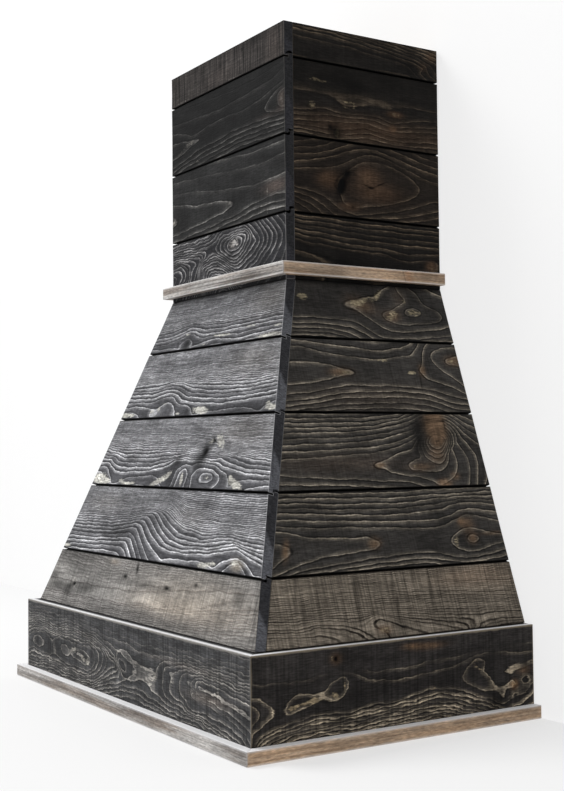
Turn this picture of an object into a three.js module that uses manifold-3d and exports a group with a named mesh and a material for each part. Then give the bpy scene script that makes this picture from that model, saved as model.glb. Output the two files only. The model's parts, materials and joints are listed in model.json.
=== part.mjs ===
// A wall-hung wooden range hood cover: a shiplap chimney over a shiplap flare, on a base box with an apron.
//
// Millimetres, +Z up. The origin is on the underside, at the middle of the footprint. -Y is the front and
// +Y the wall, which the open back stands against. Inside the group called `cover`, where every piece is
// placed, Y is 0 at the wall, so a depth is a plain negative Y there.
//
// Every piece is a straight stick of timber with a constant section and one plane cut at each end. The
// rafters are notched over the base box as well.

import * as THREE from "three";
import { mergeVertices } from "three/addons/utils/BufferGeometryUtils.js";
import Module from "manifold-3d";

// ---------------------------------------------------------------- driving dimensions

// The outer form, over the faces of the boards.
const coverHeight = 1200; // underside to the ceiling end
const chimneyWidth = 419;
const chimneyDepth = 342; // from the wall
const breakHeight = 749; // where the flare meets the chimney
const flareFootWidth = 842; // on top of the base box
const flareFootDepth = 540; // from the wall, on top of the base box
const baseBoxTop = 155; // also the top of the apron

// The shiplap boards.
const boardThickness = 19;
const courseCover = 136; // seam to seam, along the face of the front boards
const chimneyFirstCourse = 117; // the chimney's lowest course, ripped down
const seamGap = 3; // the open line that shows between two courses
const lapHeight = 7; // how far a lip covers the tongue behind it

// The trim.
const apronThickness = 19;
const baseTrimHeight = 22;
const baseTrimProjection = 17.2; // beyond the apron's face
const collarHeight = 22;
const collarProjection = 15; // beyond the chimney's face
const collarLift = 7; // from the break up to the collar's underside

// The frame inside.
const studSide = 38; // posts, rafters and the rails of the upper rings, square stock
const baseRailThickness = 38;
const baseRailHeight = 140; // less than the apron's, so an insert's flange is hidden
const rafterHeel = 40; // how far a rafter reaches down behind the base box's rail

// Fits.
const jointGap = 0.3; // between two pieces that meet

// ---------------------------------------------------------------- timber finishes

function timber(name, color, roughness) {
  const material = new THREE.MeshStandardMaterial({ color, roughness, metalness: 0 });
  material.name = name;
  return material;
}

const charcoalBoard = timber("charcoal_board", 0x45433f, 0.68);
const charcoalApron = timber("charcoal_apron", 0x322f2c, 0.66);
const weatheredTrim = timber("weathered_trim", 0x8d7a63, 0.75);
const barePine = timber("bare_pine", 0xc9a877, 0.8);

// ---------------------------------------------------------------- the six boarded faces

// A boarded face: a plane that boards run along. `along`, `up` and `out` are its right-handed axes, and
// `foot` is a point on the outer surface at the face's lower edge. `lean` is its angle from upright. A
// board's section is drawn with x along `up` and y along `out`, so y is 0 on the surface.
function boardedFace(foot, up, out, lean) {
  const along = new THREE.Vector3().crossVectors(up, out);
  return { foot, up, out, along, lean };
}

function frontFace(depth, height, lean) {
  return boardedFace(
    new THREE.Vector3(0, -depth, height),
    new THREE.Vector3(0, Math.sin(lean), Math.cos(lean)),
    new THREE.Vector3(0, -Math.cos(lean), Math.sin(lean)),
    lean,
  );
}

// `side` is +1 for the right-hand face and -1 for the left.
function sideFace(side, width, height, lean) {
  return boardedFace(
    new THREE.Vector3((side * width) / 2, 0, height),
    new THREE.Vector3(-side * Math.sin(lean), 0, Math.cos(lean)),
    new THREE.Vector3(side * Math.cos(lean), 0, Math.sin(lean)),
    lean,
  );
}

// The plane at a depth behind a face's outer surface, looking outwards.
function planeBehind(face, depth) {
  const point = face.foot.clone().addScaledVector(face.out, -depth);
  return new THREE.Plane().setFromNormalAndCoplanarPoint(face.out, point);
}

const flareHeight = breakHeight - baseBoxTop;
const frontLean = Math.atan2(flareFootDepth - chimneyDepth, flareHeight);
const sideLean = Math.atan2((flareFootWidth - chimneyWidth) / 2, flareHeight);

const chimney = {
  front: frontFace(chimneyDepth, breakHeight, 0),
  left: sideFace(-1, chimneyWidth, breakHeight, 0),
  right: sideFace(1, chimneyWidth, breakHeight, 0),
};
const flare = {
  front: frontFace(flareFootDepth, baseBoxTop, frontLean),
  left: sideFace(-1, flareFootWidth, baseBoxTop, sideLean),
  right: sideFace(1, flareFootWidth, baseBoxTop, sideLean),
};
const wallPlane = new THREE.Plane(new THREE.Vector3(0, 1, 0), 0);
const behindBoards = boardThickness + jointGap;

// ---------------------------------------------------------------- sticks and rails

const cover = new THREE.Group();
const sides = [
  ["left", -1],
  ["right", 1],
];

// Carries a section's x, y and z axes into the cover.
function placementOf(origin, xAxis, yAxis, zAxis) {
  return new THREE.Matrix4().makeBasis(xAxis, yAxis, zAxis).setPosition(origin);
}

// A level plane, looking up.
function levelPlane(height) {
  return new THREE.Plane(new THREE.Vector3(0, 0, 1), -height);
}

// A stick of timber. `section` is its outline and its length runs along the placement's z axis. Each end
// lies on a plane that is given in the cover's frame.
function addStick(name, material, section, placement, startPlane, endPlane) {
  const geometry = new THREE.ExtrudeGeometry(section, { depth: 1, bevelEnabled: false });
  const toSection = placement.clone().invert();
  const start = startPlane.clone().applyMatrix4(toSection);
  const end = endPlane.clone().applyMatrix4(toSection);
  const position = geometry.getAttribute("position");
  const corner = new THREE.Vector3();
  for (let i = 0; i < position.count; i += 1) {
    corner.fromBufferAttribute(position, i);
    const cut = corner.z < 0.5 ? start : end;
    const across = cut.normal.x * corner.x + cut.normal.y * corner.y;
    position.setZ(i, -(across + cut.constant) / cut.normal.z);
  }
  geometry.computeVertexNormals();
  const mesh = new THREE.Mesh(geometry, material);
  mesh.name = name;
  mesh.applyMatrix4(placement);
  cover.add(mesh);
  return mesh;
}

// A rail or post that lies square to the cover's axes, between two opposite corners given in any order.
function addRail(name, cornerA, cornerB) {
  const box = new THREE.Box3().setFromPoints([cornerA, cornerB]);
  const size = box.getSize(new THREE.Vector3());
  const mesh = new THREE.Mesh(new THREE.BoxGeometry(size.x, size.y, size.z), barePine);
  mesh.name = name;
  box.getCenter(mesh.position);
  cover.add(mesh);
}

// ---------------------------------------------------------------- cutting

const wasm = await Module();
wasm.setup();

// A closed geometry as a solid.
function solidOf(geometry) {
  const plain = geometry.clone();
  plain.deleteAttribute("normal");
  plain.deleteAttribute("uv");
  const merged = mergeVertices(plain);
  return new wasm.Manifold(
    new wasm.Mesh({
      numProp: 3,
      vertProperties: merged.getAttribute("position").array,
      triVerts: Uint32Array.from(merged.index.array),
    }),
  );
}

function geometryOf(solid) {
  const { vertProperties, triVerts } = solid.getMesh();
  const geometry = new THREE.BufferGeometry();
  geometry.setAttribute("position", new THREE.BufferAttribute(vertProperties, 3));
  geometry.setIndex(new THREE.BufferAttribute(triVerts, 1));
  geometry.computeVertexNormals();
  return geometry;
}

// A solid box between two opposite corners.
function blockBetween(low, high) {
  const size = new THREE.Vector3().subVectors(high, low);
  const middle = new THREE.Vector3().addVectors(low, high).multiplyScalar(0.5);
  const geometry = new THREE.BoxGeometry(size.x, size.y, size.z);
  return solidOf(geometry.translate(middle.x, middle.y, middle.z));
}

// Cuts a mesh by a solid that is given in the cover's frame.
function cutBy(mesh, cutter) {
  mesh.updateMatrix();
  const inCover = mesh.geometry.clone().applyMatrix4(mesh.matrix);
  const cut = geometryOf(solidOf(inCover).subtract(cutter));
  mesh.geometry = cut.applyMatrix4(mesh.matrix.clone().invert());
}

// ---------------------------------------------------------------- shiplap

// The heights of the edges and seams of a face that is boarded upwards from `low`. A last course that is
// too low to hold its own lap is taken up by its neighbour.
function seamsUpwards(low, high, firstRise, rise) {
  const narrowest = 2 * lapHeight + seamGap;
  const levels = [low];
  for (let level = low + firstRise; level < high - narrowest; level += rise) {
    levels.push(level);
  }
  levels.push(high);
  return levels;
}

// The same for a face whose full courses are centred, so its lowest and highest courses are ripped alike
// and are at least half a course each.
function seamsCentred(low, high, rise) {
  const fullCourses = Math.ceil((high - low) / rise) - 2;
  const endRise = (high - low - fullCourses * rise) / 2;
  return seamsUpwards(low, high, endRise, rise);
}

// A board's section. A lapped lower edge has its lip in front, and a lapped upper edge has its tongue
// behind the lip above. An edge that isn't lapped is sawn level, whatever the face's lean.
function boardSection(low, high, lapsBelow, lapsAbove, lean) {
  const back = -boardThickness;
  const lipBack = back / 2 + jointGap / 2;
  const tongueFront = back / 2 - jointGap / 2;
  const levelSaw = boardThickness * Math.tan(lean);
  const lipEdge = low + seamGap / 2;
  const shoulder = high - seamGap / 2;
  const lappedBelow = [
    [lipEdge, 0],
    [lipEdge, lipBack],
    [lipEdge + lapHeight, lipBack],
    [lipEdge + lapHeight, back],
  ];
  const sawnBelow = [
    [low, 0],
    [low + levelSaw, back],
  ];
  const lappedAbove = [
    [shoulder + lapHeight, back],
    [shoulder + lapHeight, tongueFront],
    [shoulder, tongueFront],
    [shoulder, 0],
  ];
  const sawnAbove = [
    [high + levelSaw, back],
    [high, 0],
  ];
  const outline = [
    ...(lapsBelow ? lappedBelow : sawnBelow),
    ...(lapsAbove ? lappedAbove : sawnAbove),
  ];
  return new THREE.Shape(outline.map(([x, y]) => new THREE.Vector2(x, y)));
}

// Boards one face, from course 1 at the top down. `levels` are the heights of its edges and seams.
function addBoards(name, face, levels, startPlane, endPlane) {
  const placement = placementOf(face.foot, face.up, face.out, face.along);
  const onFace = (level) => (level - face.foot.z) / Math.cos(face.lean);
  const count = levels.length - 1;
  for (let course = 1; course <= count; course += 1) {
    const low = onFace(levels[count - course]);
    const high = onFace(levels[count - course + 1]);
    const section = boardSection(low, high, course < count, course > 1, face.lean);
    addStick(`${name}_board_${course}`, charcoalBoard, section, placement, startPlane, endPlane);
  }
}

// The front boards run out to the side faces and cover the ends of the side boards, which run from behind
// the front boards to the wall.
function addShiplap(name, faces, levels) {
  const frontBacks = planeBehind(faces.front, behindBoards);
  const leftSurface = planeBehind(faces.left, 0);
  const rightSurface = planeBehind(faces.right, 0);
  addBoards(`${name}_front`, faces.front, levels, leftSurface, rightSurface);
  addBoards(`${name}_right`, faces.right, levels, frontBacks, wallPlane);
  addBoards(`${name}_left`, faces.left, levels, wallPlane, frontBacks);
}

// ---------------------------------------------------------------- mitred trim

// Three strips round the front and sides of a box, mitred at the front corners. `inner` and `outer` are
// how far a strip's back and face lie outside the box, and `low` and `high` are its edges' heights.
function addMitredTrim(name, material, box, { inner, outer, low, high }) {
  const xAxis = new THREE.Vector3(1, 0, 0);
  const yAxis = new THREE.Vector3(0, 1, 0);
  const zAxis = new THREE.Vector3(0, 0, 1);
  const leftwards = xAxis.clone().negate();
  const forwards = yAxis.clone().negate();
  const halfWidth = box.width / 2;
  const section = new THREE.Shape([
    new THREE.Vector2(low, inner),
    new THREE.Vector2(high, inner),
    new THREE.Vector2(high, outer),
    new THREE.Vector2(low, outer),
  ]);
  // The mitre at one front corner, moved by half the joint's gap towards the wall (+1) or the front (-1).
  const mitre = (side, towards) => {
    const normal = new THREE.Vector3(side, 1, 0).normalize();
    const point = new THREE.Vector3(side * halfWidth, -box.depth, 0);
    point.addScaledVector(normal, (towards * jointGap) / 2);
    return new THREE.Plane().setFromNormalAndCoplanarPoint(normal, point);
  };
  const front = placementOf(new THREE.Vector3(0, -box.depth, 0), zAxis, forwards, xAxis);
  const right = placementOf(new THREE.Vector3(halfWidth, 0, 0), zAxis, xAxis, yAxis);
  const left = placementOf(new THREE.Vector3(-halfWidth, 0, 0), zAxis, leftwards, forwards);
  addStick(`${name}_front`, material, section, front, mitre(-1, -1), mitre(1, -1));
  addStick(`${name}_right`, material, section, right, mitre(1, 1), wallPlane);
  addStick(`${name}_left`, material, section, left, wallPlane, mitre(-1, 1));
}

const chimneyBox = { width: chimneyWidth, depth: chimneyDepth };
const footBox = { width: flareFootWidth, depth: flareFootDepth };
const baseTrimFace = apronThickness + baseTrimProjection;

function addTrim() {
  const collarFoot = breakHeight + collarLift;
  addMitredTrim("collar_trim", weatheredTrim, chimneyBox, {
    inner: jointGap,
    outer: collarProjection,
    low: collarFoot,
    high: collarFoot + collarHeight,
  });
  addMitredTrim("apron", charcoalApron, footBox, {
    inner: 0,
    outer: apronThickness,
    low: 0,
    high: baseBoxTop,
  });
  addMitredTrim("base_trim", weatheredTrim, footBox, {
    inner: apronThickness + jointGap,
    outer: baseTrimFace,
    low: 0,
    high: baseTrimHeight,
  });
}

// ---------------------------------------------------------------- rings of rails and posts

// A level ring of four rails. The front and back rails run the full width, with the side rails between.
function addRing(name, { halfWidth, depth, thickness, low, high }) {
  const innerFront = thickness - depth;
  const innerHalfWidth = halfWidth - thickness;
  addRail(
    `${name}_rail_front`,
    new THREE.Vector3(-halfWidth, -depth, low),
    new THREE.Vector3(halfWidth, innerFront, high),
  );
  addRail(
    `${name}_rail_back`,
    new THREE.Vector3(-halfWidth, -thickness, low),
    new THREE.Vector3(halfWidth, 0, high),
  );
  for (const [sideName, side] of sides) {
    addRail(
      `${name}_rail_${sideName}`,
      new THREE.Vector3(side * halfWidth, innerFront + jointGap, low),
      new THREE.Vector3(side * innerHalfWidth, -thickness - jointGap, high),
    );
  }
}

const baseRing = {
  halfWidth: flareFootWidth / 2 - jointGap,
  depth: flareFootDepth - jointGap,
  thickness: baseRailThickness,
  low: baseBoxTop - baseRailHeight,
  high: baseBoxTop,
};
const breakRing = {
  halfWidth: chimneyWidth / 2 - behindBoards,
  depth: chimneyDepth - behindBoards,
  thickness: studSide,
  low: breakHeight,
  high: breakHeight + studSide,
};
const topRing = { ...breakRing, low: coverHeight - studSide, high: coverHeight };

// Four posts stand on the break ring, one in each corner, and carry the top ring.
function addPosts() {
  const low = breakRing.high + jointGap;
  const high = topRing.low - jointGap;
  const ends = [
    ["front", studSide - breakRing.depth],
    ["back", 0],
  ];
  for (const [sideName, side] of sides) {
    const outer = side * breakRing.halfWidth;
    for (const [endName, back] of ends) {
      addRail(
        `chimney_post_${endName}_${sideName}`,
        new THREE.Vector3(outer, back - studSide, low),
        new THREE.Vector3(outer - side * studSide, back, high),
      );
    }
  }
}

// ---------------------------------------------------------------- rafters

// The point that three planes share, by Cramer's rule.
function meetingPoint(a, b, c) {
  const bc = new THREE.Vector3().crossVectors(b.normal, c.normal);
  const ca = new THREE.Vector3().crossVectors(c.normal, a.normal);
  const ab = new THREE.Vector3().crossVectors(a.normal, b.normal);
  const volume = a.normal.dot(bc);
  return bc
    .multiplyScalar(-a.constant)
    .addScaledVector(ca, -b.constant)
    .addScaledVector(ab, -c.constant)
    .divideScalar(volume);
}

// The base box's rails, with the clearance that the rafters' seats keep from them.
function baseBoxRim() {
  const innerHalfWidth = baseRing.halfWidth - baseRing.thickness - jointGap;
  const innerFront = baseRing.thickness + jointGap - baseRing.depth;
  const innerBack = -baseRing.thickness - jointGap;
  const rim = blockBetween(
    new THREE.Vector3(-flareFootWidth / 2, -flareFootDepth, 0),
    new THREE.Vector3(flareFootWidth / 2, studSide, baseRing.high + jointGap),
  );
  const opening = blockBetween(
    new THREE.Vector3(-innerHalfWidth, innerFront, -studSide),
    new THREE.Vector3(innerHalfWidth, innerBack, baseRing.high + studSide),
  );
  return rim.subtract(opening);
}

// A rafter that lies in the corner of two planes, both looking outwards, and is backed to fit them. It is
// sawn level at both ends, seated on the base box and butted under the break ring.
function addRafter(name, firstPlane, secondPlane, rim) {
  const direction = new THREE.Vector3().crossVectors(firstPlane.normal, secondPlane.normal);
  direction.multiplyScalar(Math.sign(direction.z)).normalize();
  const foot = levelPlane(baseRing.high - rafterHeel);
  const head = levelPlane(breakRing.low - jointGap);
  const inwards = firstPlane.normal.clone().add(secondPlane.normal).negate();
  const edgeOn = (plane) => {
    const edge = new THREE.Vector3().crossVectors(plane.normal, direction).normalize();
    return edge.multiplyScalar(Math.sign(edge.dot(inwards)) * studSide);
  };
  const firstEdge = edgeOn(firstPlane);
  const secondEdge = edgeOn(secondPlane);
  const xAxis = firstEdge.clone().normalize();
  const yAxis = new THREE.Vector3().crossVectors(direction, xAxis);
  const flat = (vector) => new THREE.Vector2(vector.dot(xAxis), vector.dot(yAxis));
  const section = new THREE.Shape([
    new THREE.Vector2(0, 0),
    flat(firstEdge),
    flat(firstEdge.clone().add(secondEdge)),
    flat(secondEdge),
  ]);
  const origin = meetingPoint(firstPlane, secondPlane, foot);
  const placement = placementOf(origin, xAxis, yAxis, direction);
  cutBy(addStick(name, barePine, section, placement, foot, head), rim);
}

function addRafters() {
  const frontBacks = planeBehind(flare.front, behindBoards);
  const rim = baseBoxRim();
  for (const [sideName, side] of sides) {
    const sideBacks = planeBehind(flare[sideName], behindBoards);
    addRafter(`hip_rafter_${sideName}`, frontBacks, sideBacks, rim);
    addRafter(`wall_rafter_${sideName}`, wallPlane, sideBacks, rim);
  }
  const halfRafter = new THREE.Plane(new THREE.Vector3(1, 0, 0), -studSide / 2);
  addRafter("middle_rafter", frontBacks, halfRafter, rim);
}

// ---------------------------------------------------------------- the whole cover

const chimneyLevels = seamsUpwards(breakHeight, coverHeight, chimneyFirstCourse, courseCover);
const flareLevels = seamsCentred(
  baseBoxTop + jointGap,
  breakHeight - jointGap,
  courseCover * Math.cos(frontLean),
);

addRing("base", baseRing);
addRafters();
addRing("break", breakRing);
addPosts();
addRing("top", topRing);
addShiplap("flare", flare, flareLevels);
addShiplap("chimney", chimney, chimneyLevels);
addTrim();

// The wall lies half the whole depth behind the origin.
cover.position.y = (flareFootDepth + baseTrimFace) / 2;

const rangeHoodCover = new THREE.Group();
rangeHoodCover.add(cover);

export default rangeHoodCover;
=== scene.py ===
"""A wall-hung wooden range hood cover: dark brushed shiplap on a pine frame, with weathered trim.

The timber and its marks are measured in millimetres, and the room and the noises in metres, as in Blender.
Every board is swept afresh over the solid that it stands for, and its grain is drawn on it by a Figure.
"""

import json
import logging
import math
from dataclasses import dataclass, replace
from enum import Enum
from functools import partial, reduce
from typing import Any, Iterable, Sequence

import bmesh
import bpy
import numpy as np
from bpy.types import Material, Mesh, Node, NodeSocket as Socket, NodeTree, Object
from mathutils import Matrix, Vector
from numpy import ndarray

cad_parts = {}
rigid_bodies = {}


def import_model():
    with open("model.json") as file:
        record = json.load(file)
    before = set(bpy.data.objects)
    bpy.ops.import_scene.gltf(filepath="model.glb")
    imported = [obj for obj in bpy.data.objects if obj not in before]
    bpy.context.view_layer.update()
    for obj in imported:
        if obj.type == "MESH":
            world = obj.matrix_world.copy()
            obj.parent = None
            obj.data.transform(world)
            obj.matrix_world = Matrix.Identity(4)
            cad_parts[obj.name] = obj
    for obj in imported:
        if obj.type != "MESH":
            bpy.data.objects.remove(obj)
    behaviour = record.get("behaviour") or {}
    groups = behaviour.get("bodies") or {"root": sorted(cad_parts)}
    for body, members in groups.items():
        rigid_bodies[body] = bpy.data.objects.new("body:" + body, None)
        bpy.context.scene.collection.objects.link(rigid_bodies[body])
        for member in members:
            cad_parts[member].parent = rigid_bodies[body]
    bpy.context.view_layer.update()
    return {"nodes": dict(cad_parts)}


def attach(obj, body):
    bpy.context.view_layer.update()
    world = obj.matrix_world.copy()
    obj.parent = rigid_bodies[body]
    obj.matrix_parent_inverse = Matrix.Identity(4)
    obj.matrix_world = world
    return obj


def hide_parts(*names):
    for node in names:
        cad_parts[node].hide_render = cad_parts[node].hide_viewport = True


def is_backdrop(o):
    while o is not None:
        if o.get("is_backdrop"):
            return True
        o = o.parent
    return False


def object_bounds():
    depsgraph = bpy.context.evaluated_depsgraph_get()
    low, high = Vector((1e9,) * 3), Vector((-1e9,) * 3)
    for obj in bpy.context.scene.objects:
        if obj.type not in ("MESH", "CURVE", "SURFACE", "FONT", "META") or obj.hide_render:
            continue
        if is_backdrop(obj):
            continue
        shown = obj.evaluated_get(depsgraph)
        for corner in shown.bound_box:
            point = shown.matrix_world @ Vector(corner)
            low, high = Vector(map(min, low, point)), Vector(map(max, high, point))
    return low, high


LOG = logging.getLogger("hood_cover")
MM = 0.001
BODY = "root"

Paint = tuple[int, int, int]
Sockets = bpy.types.bpy_prop_collection

# How near counts as on a face, in millimetres, and as one point, in metres.
TOUCH = 0.05
WELD = 1e-5
# The distance from an edge, in millimetres, that stands for nowhere near it.
FAR = 60.0


def linear(paint: Paint) -> tuple[float, ...]:
    """Turns a display colour of 0 to 255 into the linear colour, with an alpha of 1, that shaders take."""
    shares = [value / 255 for value in paint]
    light = (share / 12.92 if share <= 0.04045 else ((share + 0.055) / 1.055) ** 2.4 for share in shares)
    return (*light, 1.0)


# ---- node trees


class Graph:
    """Adds nodes to one node tree and wires them as they are written."""

    def __init__(self, tree: NodeTree) -> None:
        """Starts on a tree, which may be empty."""
        self.tree = tree

    def feed(self, socket: Socket, value: Any) -> None:
        """Links a socket to another, or sets its value.

        Args:
            socket: the input to fill.
            value: an output socket to link from, or a plain value.
        """
        if isinstance(value, Socket):
            self.tree.links.new(value, socket)
        else:
            socket.default_value = value

    def node(self, kind: str, inputs: dict[str | int, Any] | None = None, **settings: Any) -> Node:
        """Adds a node.

        Args:
            kind: the node's type name.
            inputs: values or sockets for its inputs, by name or place.
            **settings: the node's own properties.

        Returns:
            The new node.
        """
        made = self.tree.nodes.new(kind)
        for name, value in settings.items():
            setattr(made, name, value)
        for name, value in (inputs or {}).items():
            self.feed(made.inputs[name], value)
        return made

    def math(self, operation: str, *values: Any, clamp: bool = False) -> Socket:
        """Returns what a Math node makes of numbers or sockets, held between 0 and 1 if it is clamped."""
        inputs = dict(enumerate(values))
        return self.node("ShaderNodeMath", inputs, operation=operation, use_clamp=clamp).outputs[0]

    def times(self, *values: Any, clamp: bool = False) -> Socket:
        """Returns the product of two or more values."""
        product = reduce(lambda left, right: self.math("MULTIPLY", left, right), values[:-1])
        return self.math("MULTIPLY", product, values[-1], clamp=clamp)

    def plus(self, first: Any, second: Any) -> Socket:
        """Returns the sum of two values."""
        return self.math("ADD", first, second)

    def minus(self, first: Any, second: Any) -> Socket:
        """Returns the first value less the second."""
        return self.math("SUBTRACT", first, second)

    def rest(self, value: Any) -> Socket:
        """Returns what a value leaves of 1, held between 0 and 1."""
        return self.math("SUBTRACT", 1.0, value, clamp=True)

    def around(self, value: Any, middle: float, reach: float) -> Socket:
        """Returns 1 where a value is in the middle, and less on both sides, down to 0 at the reach."""
        return self.rest(self.math("DIVIDE", self.math("ABSOLUTE", self.minus(value, middle)), reach))

    def step(self, value: Socket, low: Any, high: Any) -> Socket:
        """Returns 0 where a value is under low, 1 where it is over high, and a smooth step between."""
        inputs = {"Value": value, "From Min": low, "From Max": high}
        return self.node("ShaderNodeMapRange", inputs, interpolation_type="SMOOTHSTEP").outputs["Result"]

    def spread(self, value: Socket, low: Any, high: Any) -> Socket:
        """Returns a 0 to 1 value spread evenly between low and high."""
        takes = {"Value": value, "To Min": low, "To Max": high}
        return self.node("ShaderNodeMapRange", takes).outputs["Result"]

    def vector(self, operation: str, *values: Any) -> Socket:
        """Returns what a Vector Math node makes of its inputs."""
        made = self.node("ShaderNodeVectorMath", dict(enumerate(values)), operation=operation)
        return made.outputs["Value" if operation in ("LENGTH", "DOT_PRODUCT") else "Vector"]

    def scaled(self, colour: Socket | Paint, gain: Any) -> Socket:
        """Returns a colour or a vector times a number."""
        inputs = {0: colour if isinstance(colour, Socket) else linear(colour)[:3], "Scale": gain}
        return self.node("ShaderNodeVectorMath", inputs, operation="SCALE").outputs[0]

    def blend(self, share: Any, first: Socket | Paint, second: Socket | Paint) -> Socket:
        """Returns two colours mixed, with this share of the second."""
        pair = [colour if isinstance(colour, Socket) else linear(colour) for colour in (first, second)]
        return self.node("ShaderNodeMix", {0: share, 6: pair[0], 7: pair[1]}, data_type="RGBA").outputs[2]

    def mix(self, share: Any, first: Socket, second: Socket) -> Socket:
        """Returns two shaders mixed, with this share of the second."""
        return self.node("ShaderNodeMixShader", {0: share, 1: first, 2: second}).outputs[0]

    def noise(self, place: Socket, scale: tuple[float, float, float], detail: float) -> Socket:
        """Returns a 0 to 1 noise at a place, from the waves to the metre on each axis and the octaves."""
        inputs = {"Vector": self.vector("MULTIPLY", place, scale), "Scale": 1.0, "Detail": detail}
        return self.node("ShaderNodeTexNoise", inputs).outputs[0]

    def attribute(self, name: str, output: str = "Fac") -> Socket:
        """Returns a mesh attribute as a number, or as a vector where the output is Vector."""
        return self.node("ShaderNodeAttribute", attribute_name=name).outputs[output]

    def split(self, vector: Socket) -> Sockets:
        """Returns a vector's three numbers."""
        return self.node("ShaderNodeSeparateXYZ", {0: vector}).outputs

    def joined(self, *numbers: Any) -> Socket:
        """Returns the vector of three numbers."""
        return self.node("ShaderNodeCombineXYZ", dict(enumerate(numbers))).outputs[0]


class EffectGroup:
    """A shader effect that finishes share: a node group that takes the timber's place and named numbers."""

    name = "effect"
    takes: dict[str, float] = {}

    def wire(self, graph: Graph, given: Sockets) -> dict[str, Socket]:
        """Builds the effect's inside.

        Args:
            graph: the group's tree.
            given: the group's inputs.

        Returns:
            The socket for each output by name.
        """
        raise NotImplementedError

    def tree(self) -> NodeTree:
        """Returns the group's tree, which is built the first time."""
        tree = bpy.data.node_groups.get(self.name)
        if tree is None:
            tree = bpy.data.node_groups.new(self.name, "ShaderNodeTree")
            graph = Graph(tree)
            tree.interface.new_socket("Timber", in_out="INPUT", socket_type="NodeSocketVector")
            for name, value in self.takes.items():
                made = tree.interface.new_socket(name, in_out="INPUT", socket_type="NodeSocketFloat")
                made.default_value = value
            results = self.wire(graph, graph.node("NodeGroupInput").outputs)
            for name in results:
                tree.interface.new_socket(name, in_out="OUTPUT", socket_type="NodeSocketFloat")
            graph.node("NodeGroupOutput", results)
        return tree

    def place(self, graph: Graph, **inputs: Any) -> Sockets:
        """Puts the group into a material, with values for its inputs, and returns its outputs."""
        given = {"Timber": graph.attribute("timber", "Vector"), **inputs}
        return graph.node("ShaderNodeGroup", given, node_tree=self.tree()).outputs


class GrowthLines(EffectGroup):
    """Pale lines where the ring count is whole, with a soft glow inside and a dark brushed edge outside."""

    name = "growth_lines"
    takes = {"Ring": 0.0, "Duty": 0.2, "Raggedness": 0.8}

    def wire(self, graph: Graph, given: Sockets) -> dict[str, Socket]:
        """Builds the lines' profile across, in line widths, and their unevenness along."""
        timber, ring, duty = given["Timber"], given["Ring"], given["Duty"]
        coarse = graph.minus(graph.noise(timber, (60.0, 240.0, 60.0), 3.0), 0.5)
        shifted = graph.plus(graph.plus(ring, graph.times(coarse, given["Raggedness"], duty)), 0.5)
        offset = graph.math("DIVIDE", graph.minus(graph.math("FRACT", shifted), 0.5), duty)
        number = graph.math("FLOOR", shifted)
        luck = graph.node("ShaderNodeTexWhiteNoise", {"W": number}, noise_dimensions="1D").outputs["Value"]
        line = graph.rest(graph.step(graph.math("ABSOLUTE", offset), 0.18, 0.62))
        along, _, across = graph.split(timber)
        streak = graph.noise(graph.joined(along, ring, across), (16.0, 1.0, 1.0), 4.0)
        strength = graph.times(graph.spread(luck, 0.4, 1.15), graph.spread(streak, 0.2, 1.8))
        return {
            "Line": graph.times(line, strength, clamp=True),
            "Glow": graph.times(graph.around(offset, -0.9, 1.8), strength, clamp=True),
            "Shade": graph.around(offset, 1.05, 0.75),
            "Streak": streak,
        }


class SawnFibre(EffectGroup):
    """The fine surface of sawn and brushed softwood: fibres, saw marks, soft clouds and small flecks."""

    name = "sawn_fibre"

    def wire(self, graph: Graph, given: Sockets) -> dict[str, Socket]:
        """Builds four noises in the board's own directions."""
        return {
            "Fibre": graph.noise(given["Timber"], (48.0, 520.0, 300.0), 4.0),
            "Saw": graph.noise(given["Timber"], (260.0, 11.0, 12.0), 3.0),
            "Cloud": graph.noise(given["Timber"], (11.0, 34.0, 20.0), 4.0),
            "Fleck": graph.noise(given["Timber"], (120.0, 420.0, 200.0), 3.0),
        }


class RaggedPatch(EffectGroup):
    """Breaks the soft edge of a mark on the wood into a ragged one that follows the fibres."""

    name = "ragged_patch"
    takes = {"Amount": 0.0, "Breakup": 0.7, "Softness": 0.12}

    def wire(self, graph: Graph, given: Sockets) -> dict[str, Socket]:
        """Builds a threshold that a noise moves to and fro."""
        amount, softness = given["Amount"], given["Softness"]
        noise = graph.minus(graph.noise(given["Timber"], (150.0, 330.0, 90.0), 4.0), 0.5)
        moved = graph.plus(amount, graph.times(noise, given["Breakup"], graph.math("SQRT", amount)))
        return {"Mask": graph.step(moved, graph.minus(0.5, softness), graph.plus(0.5, softness))}


class WornArris(EffectGroup):
    """Wear along a board's edges, from the distance to the nearest one."""

    name = "worn_arris"
    takes = {"Distance": 50.0, "Reach": 2.0}

    def wire(self, graph: Graph, given: Sockets) -> dict[str, Socket]:
        """Builds a mask that is strongest on the edge and broken along it."""
        noise = graph.noise(given["Timber"], (55.0, 55.0, 55.0), 4.0)
        reach = graph.times(given["Reach"], graph.spread(noise, 0.1, 1.9))
        return {"Wear": graph.rest(graph.math("DIVIDE", given["Distance"], reach))}


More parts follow.
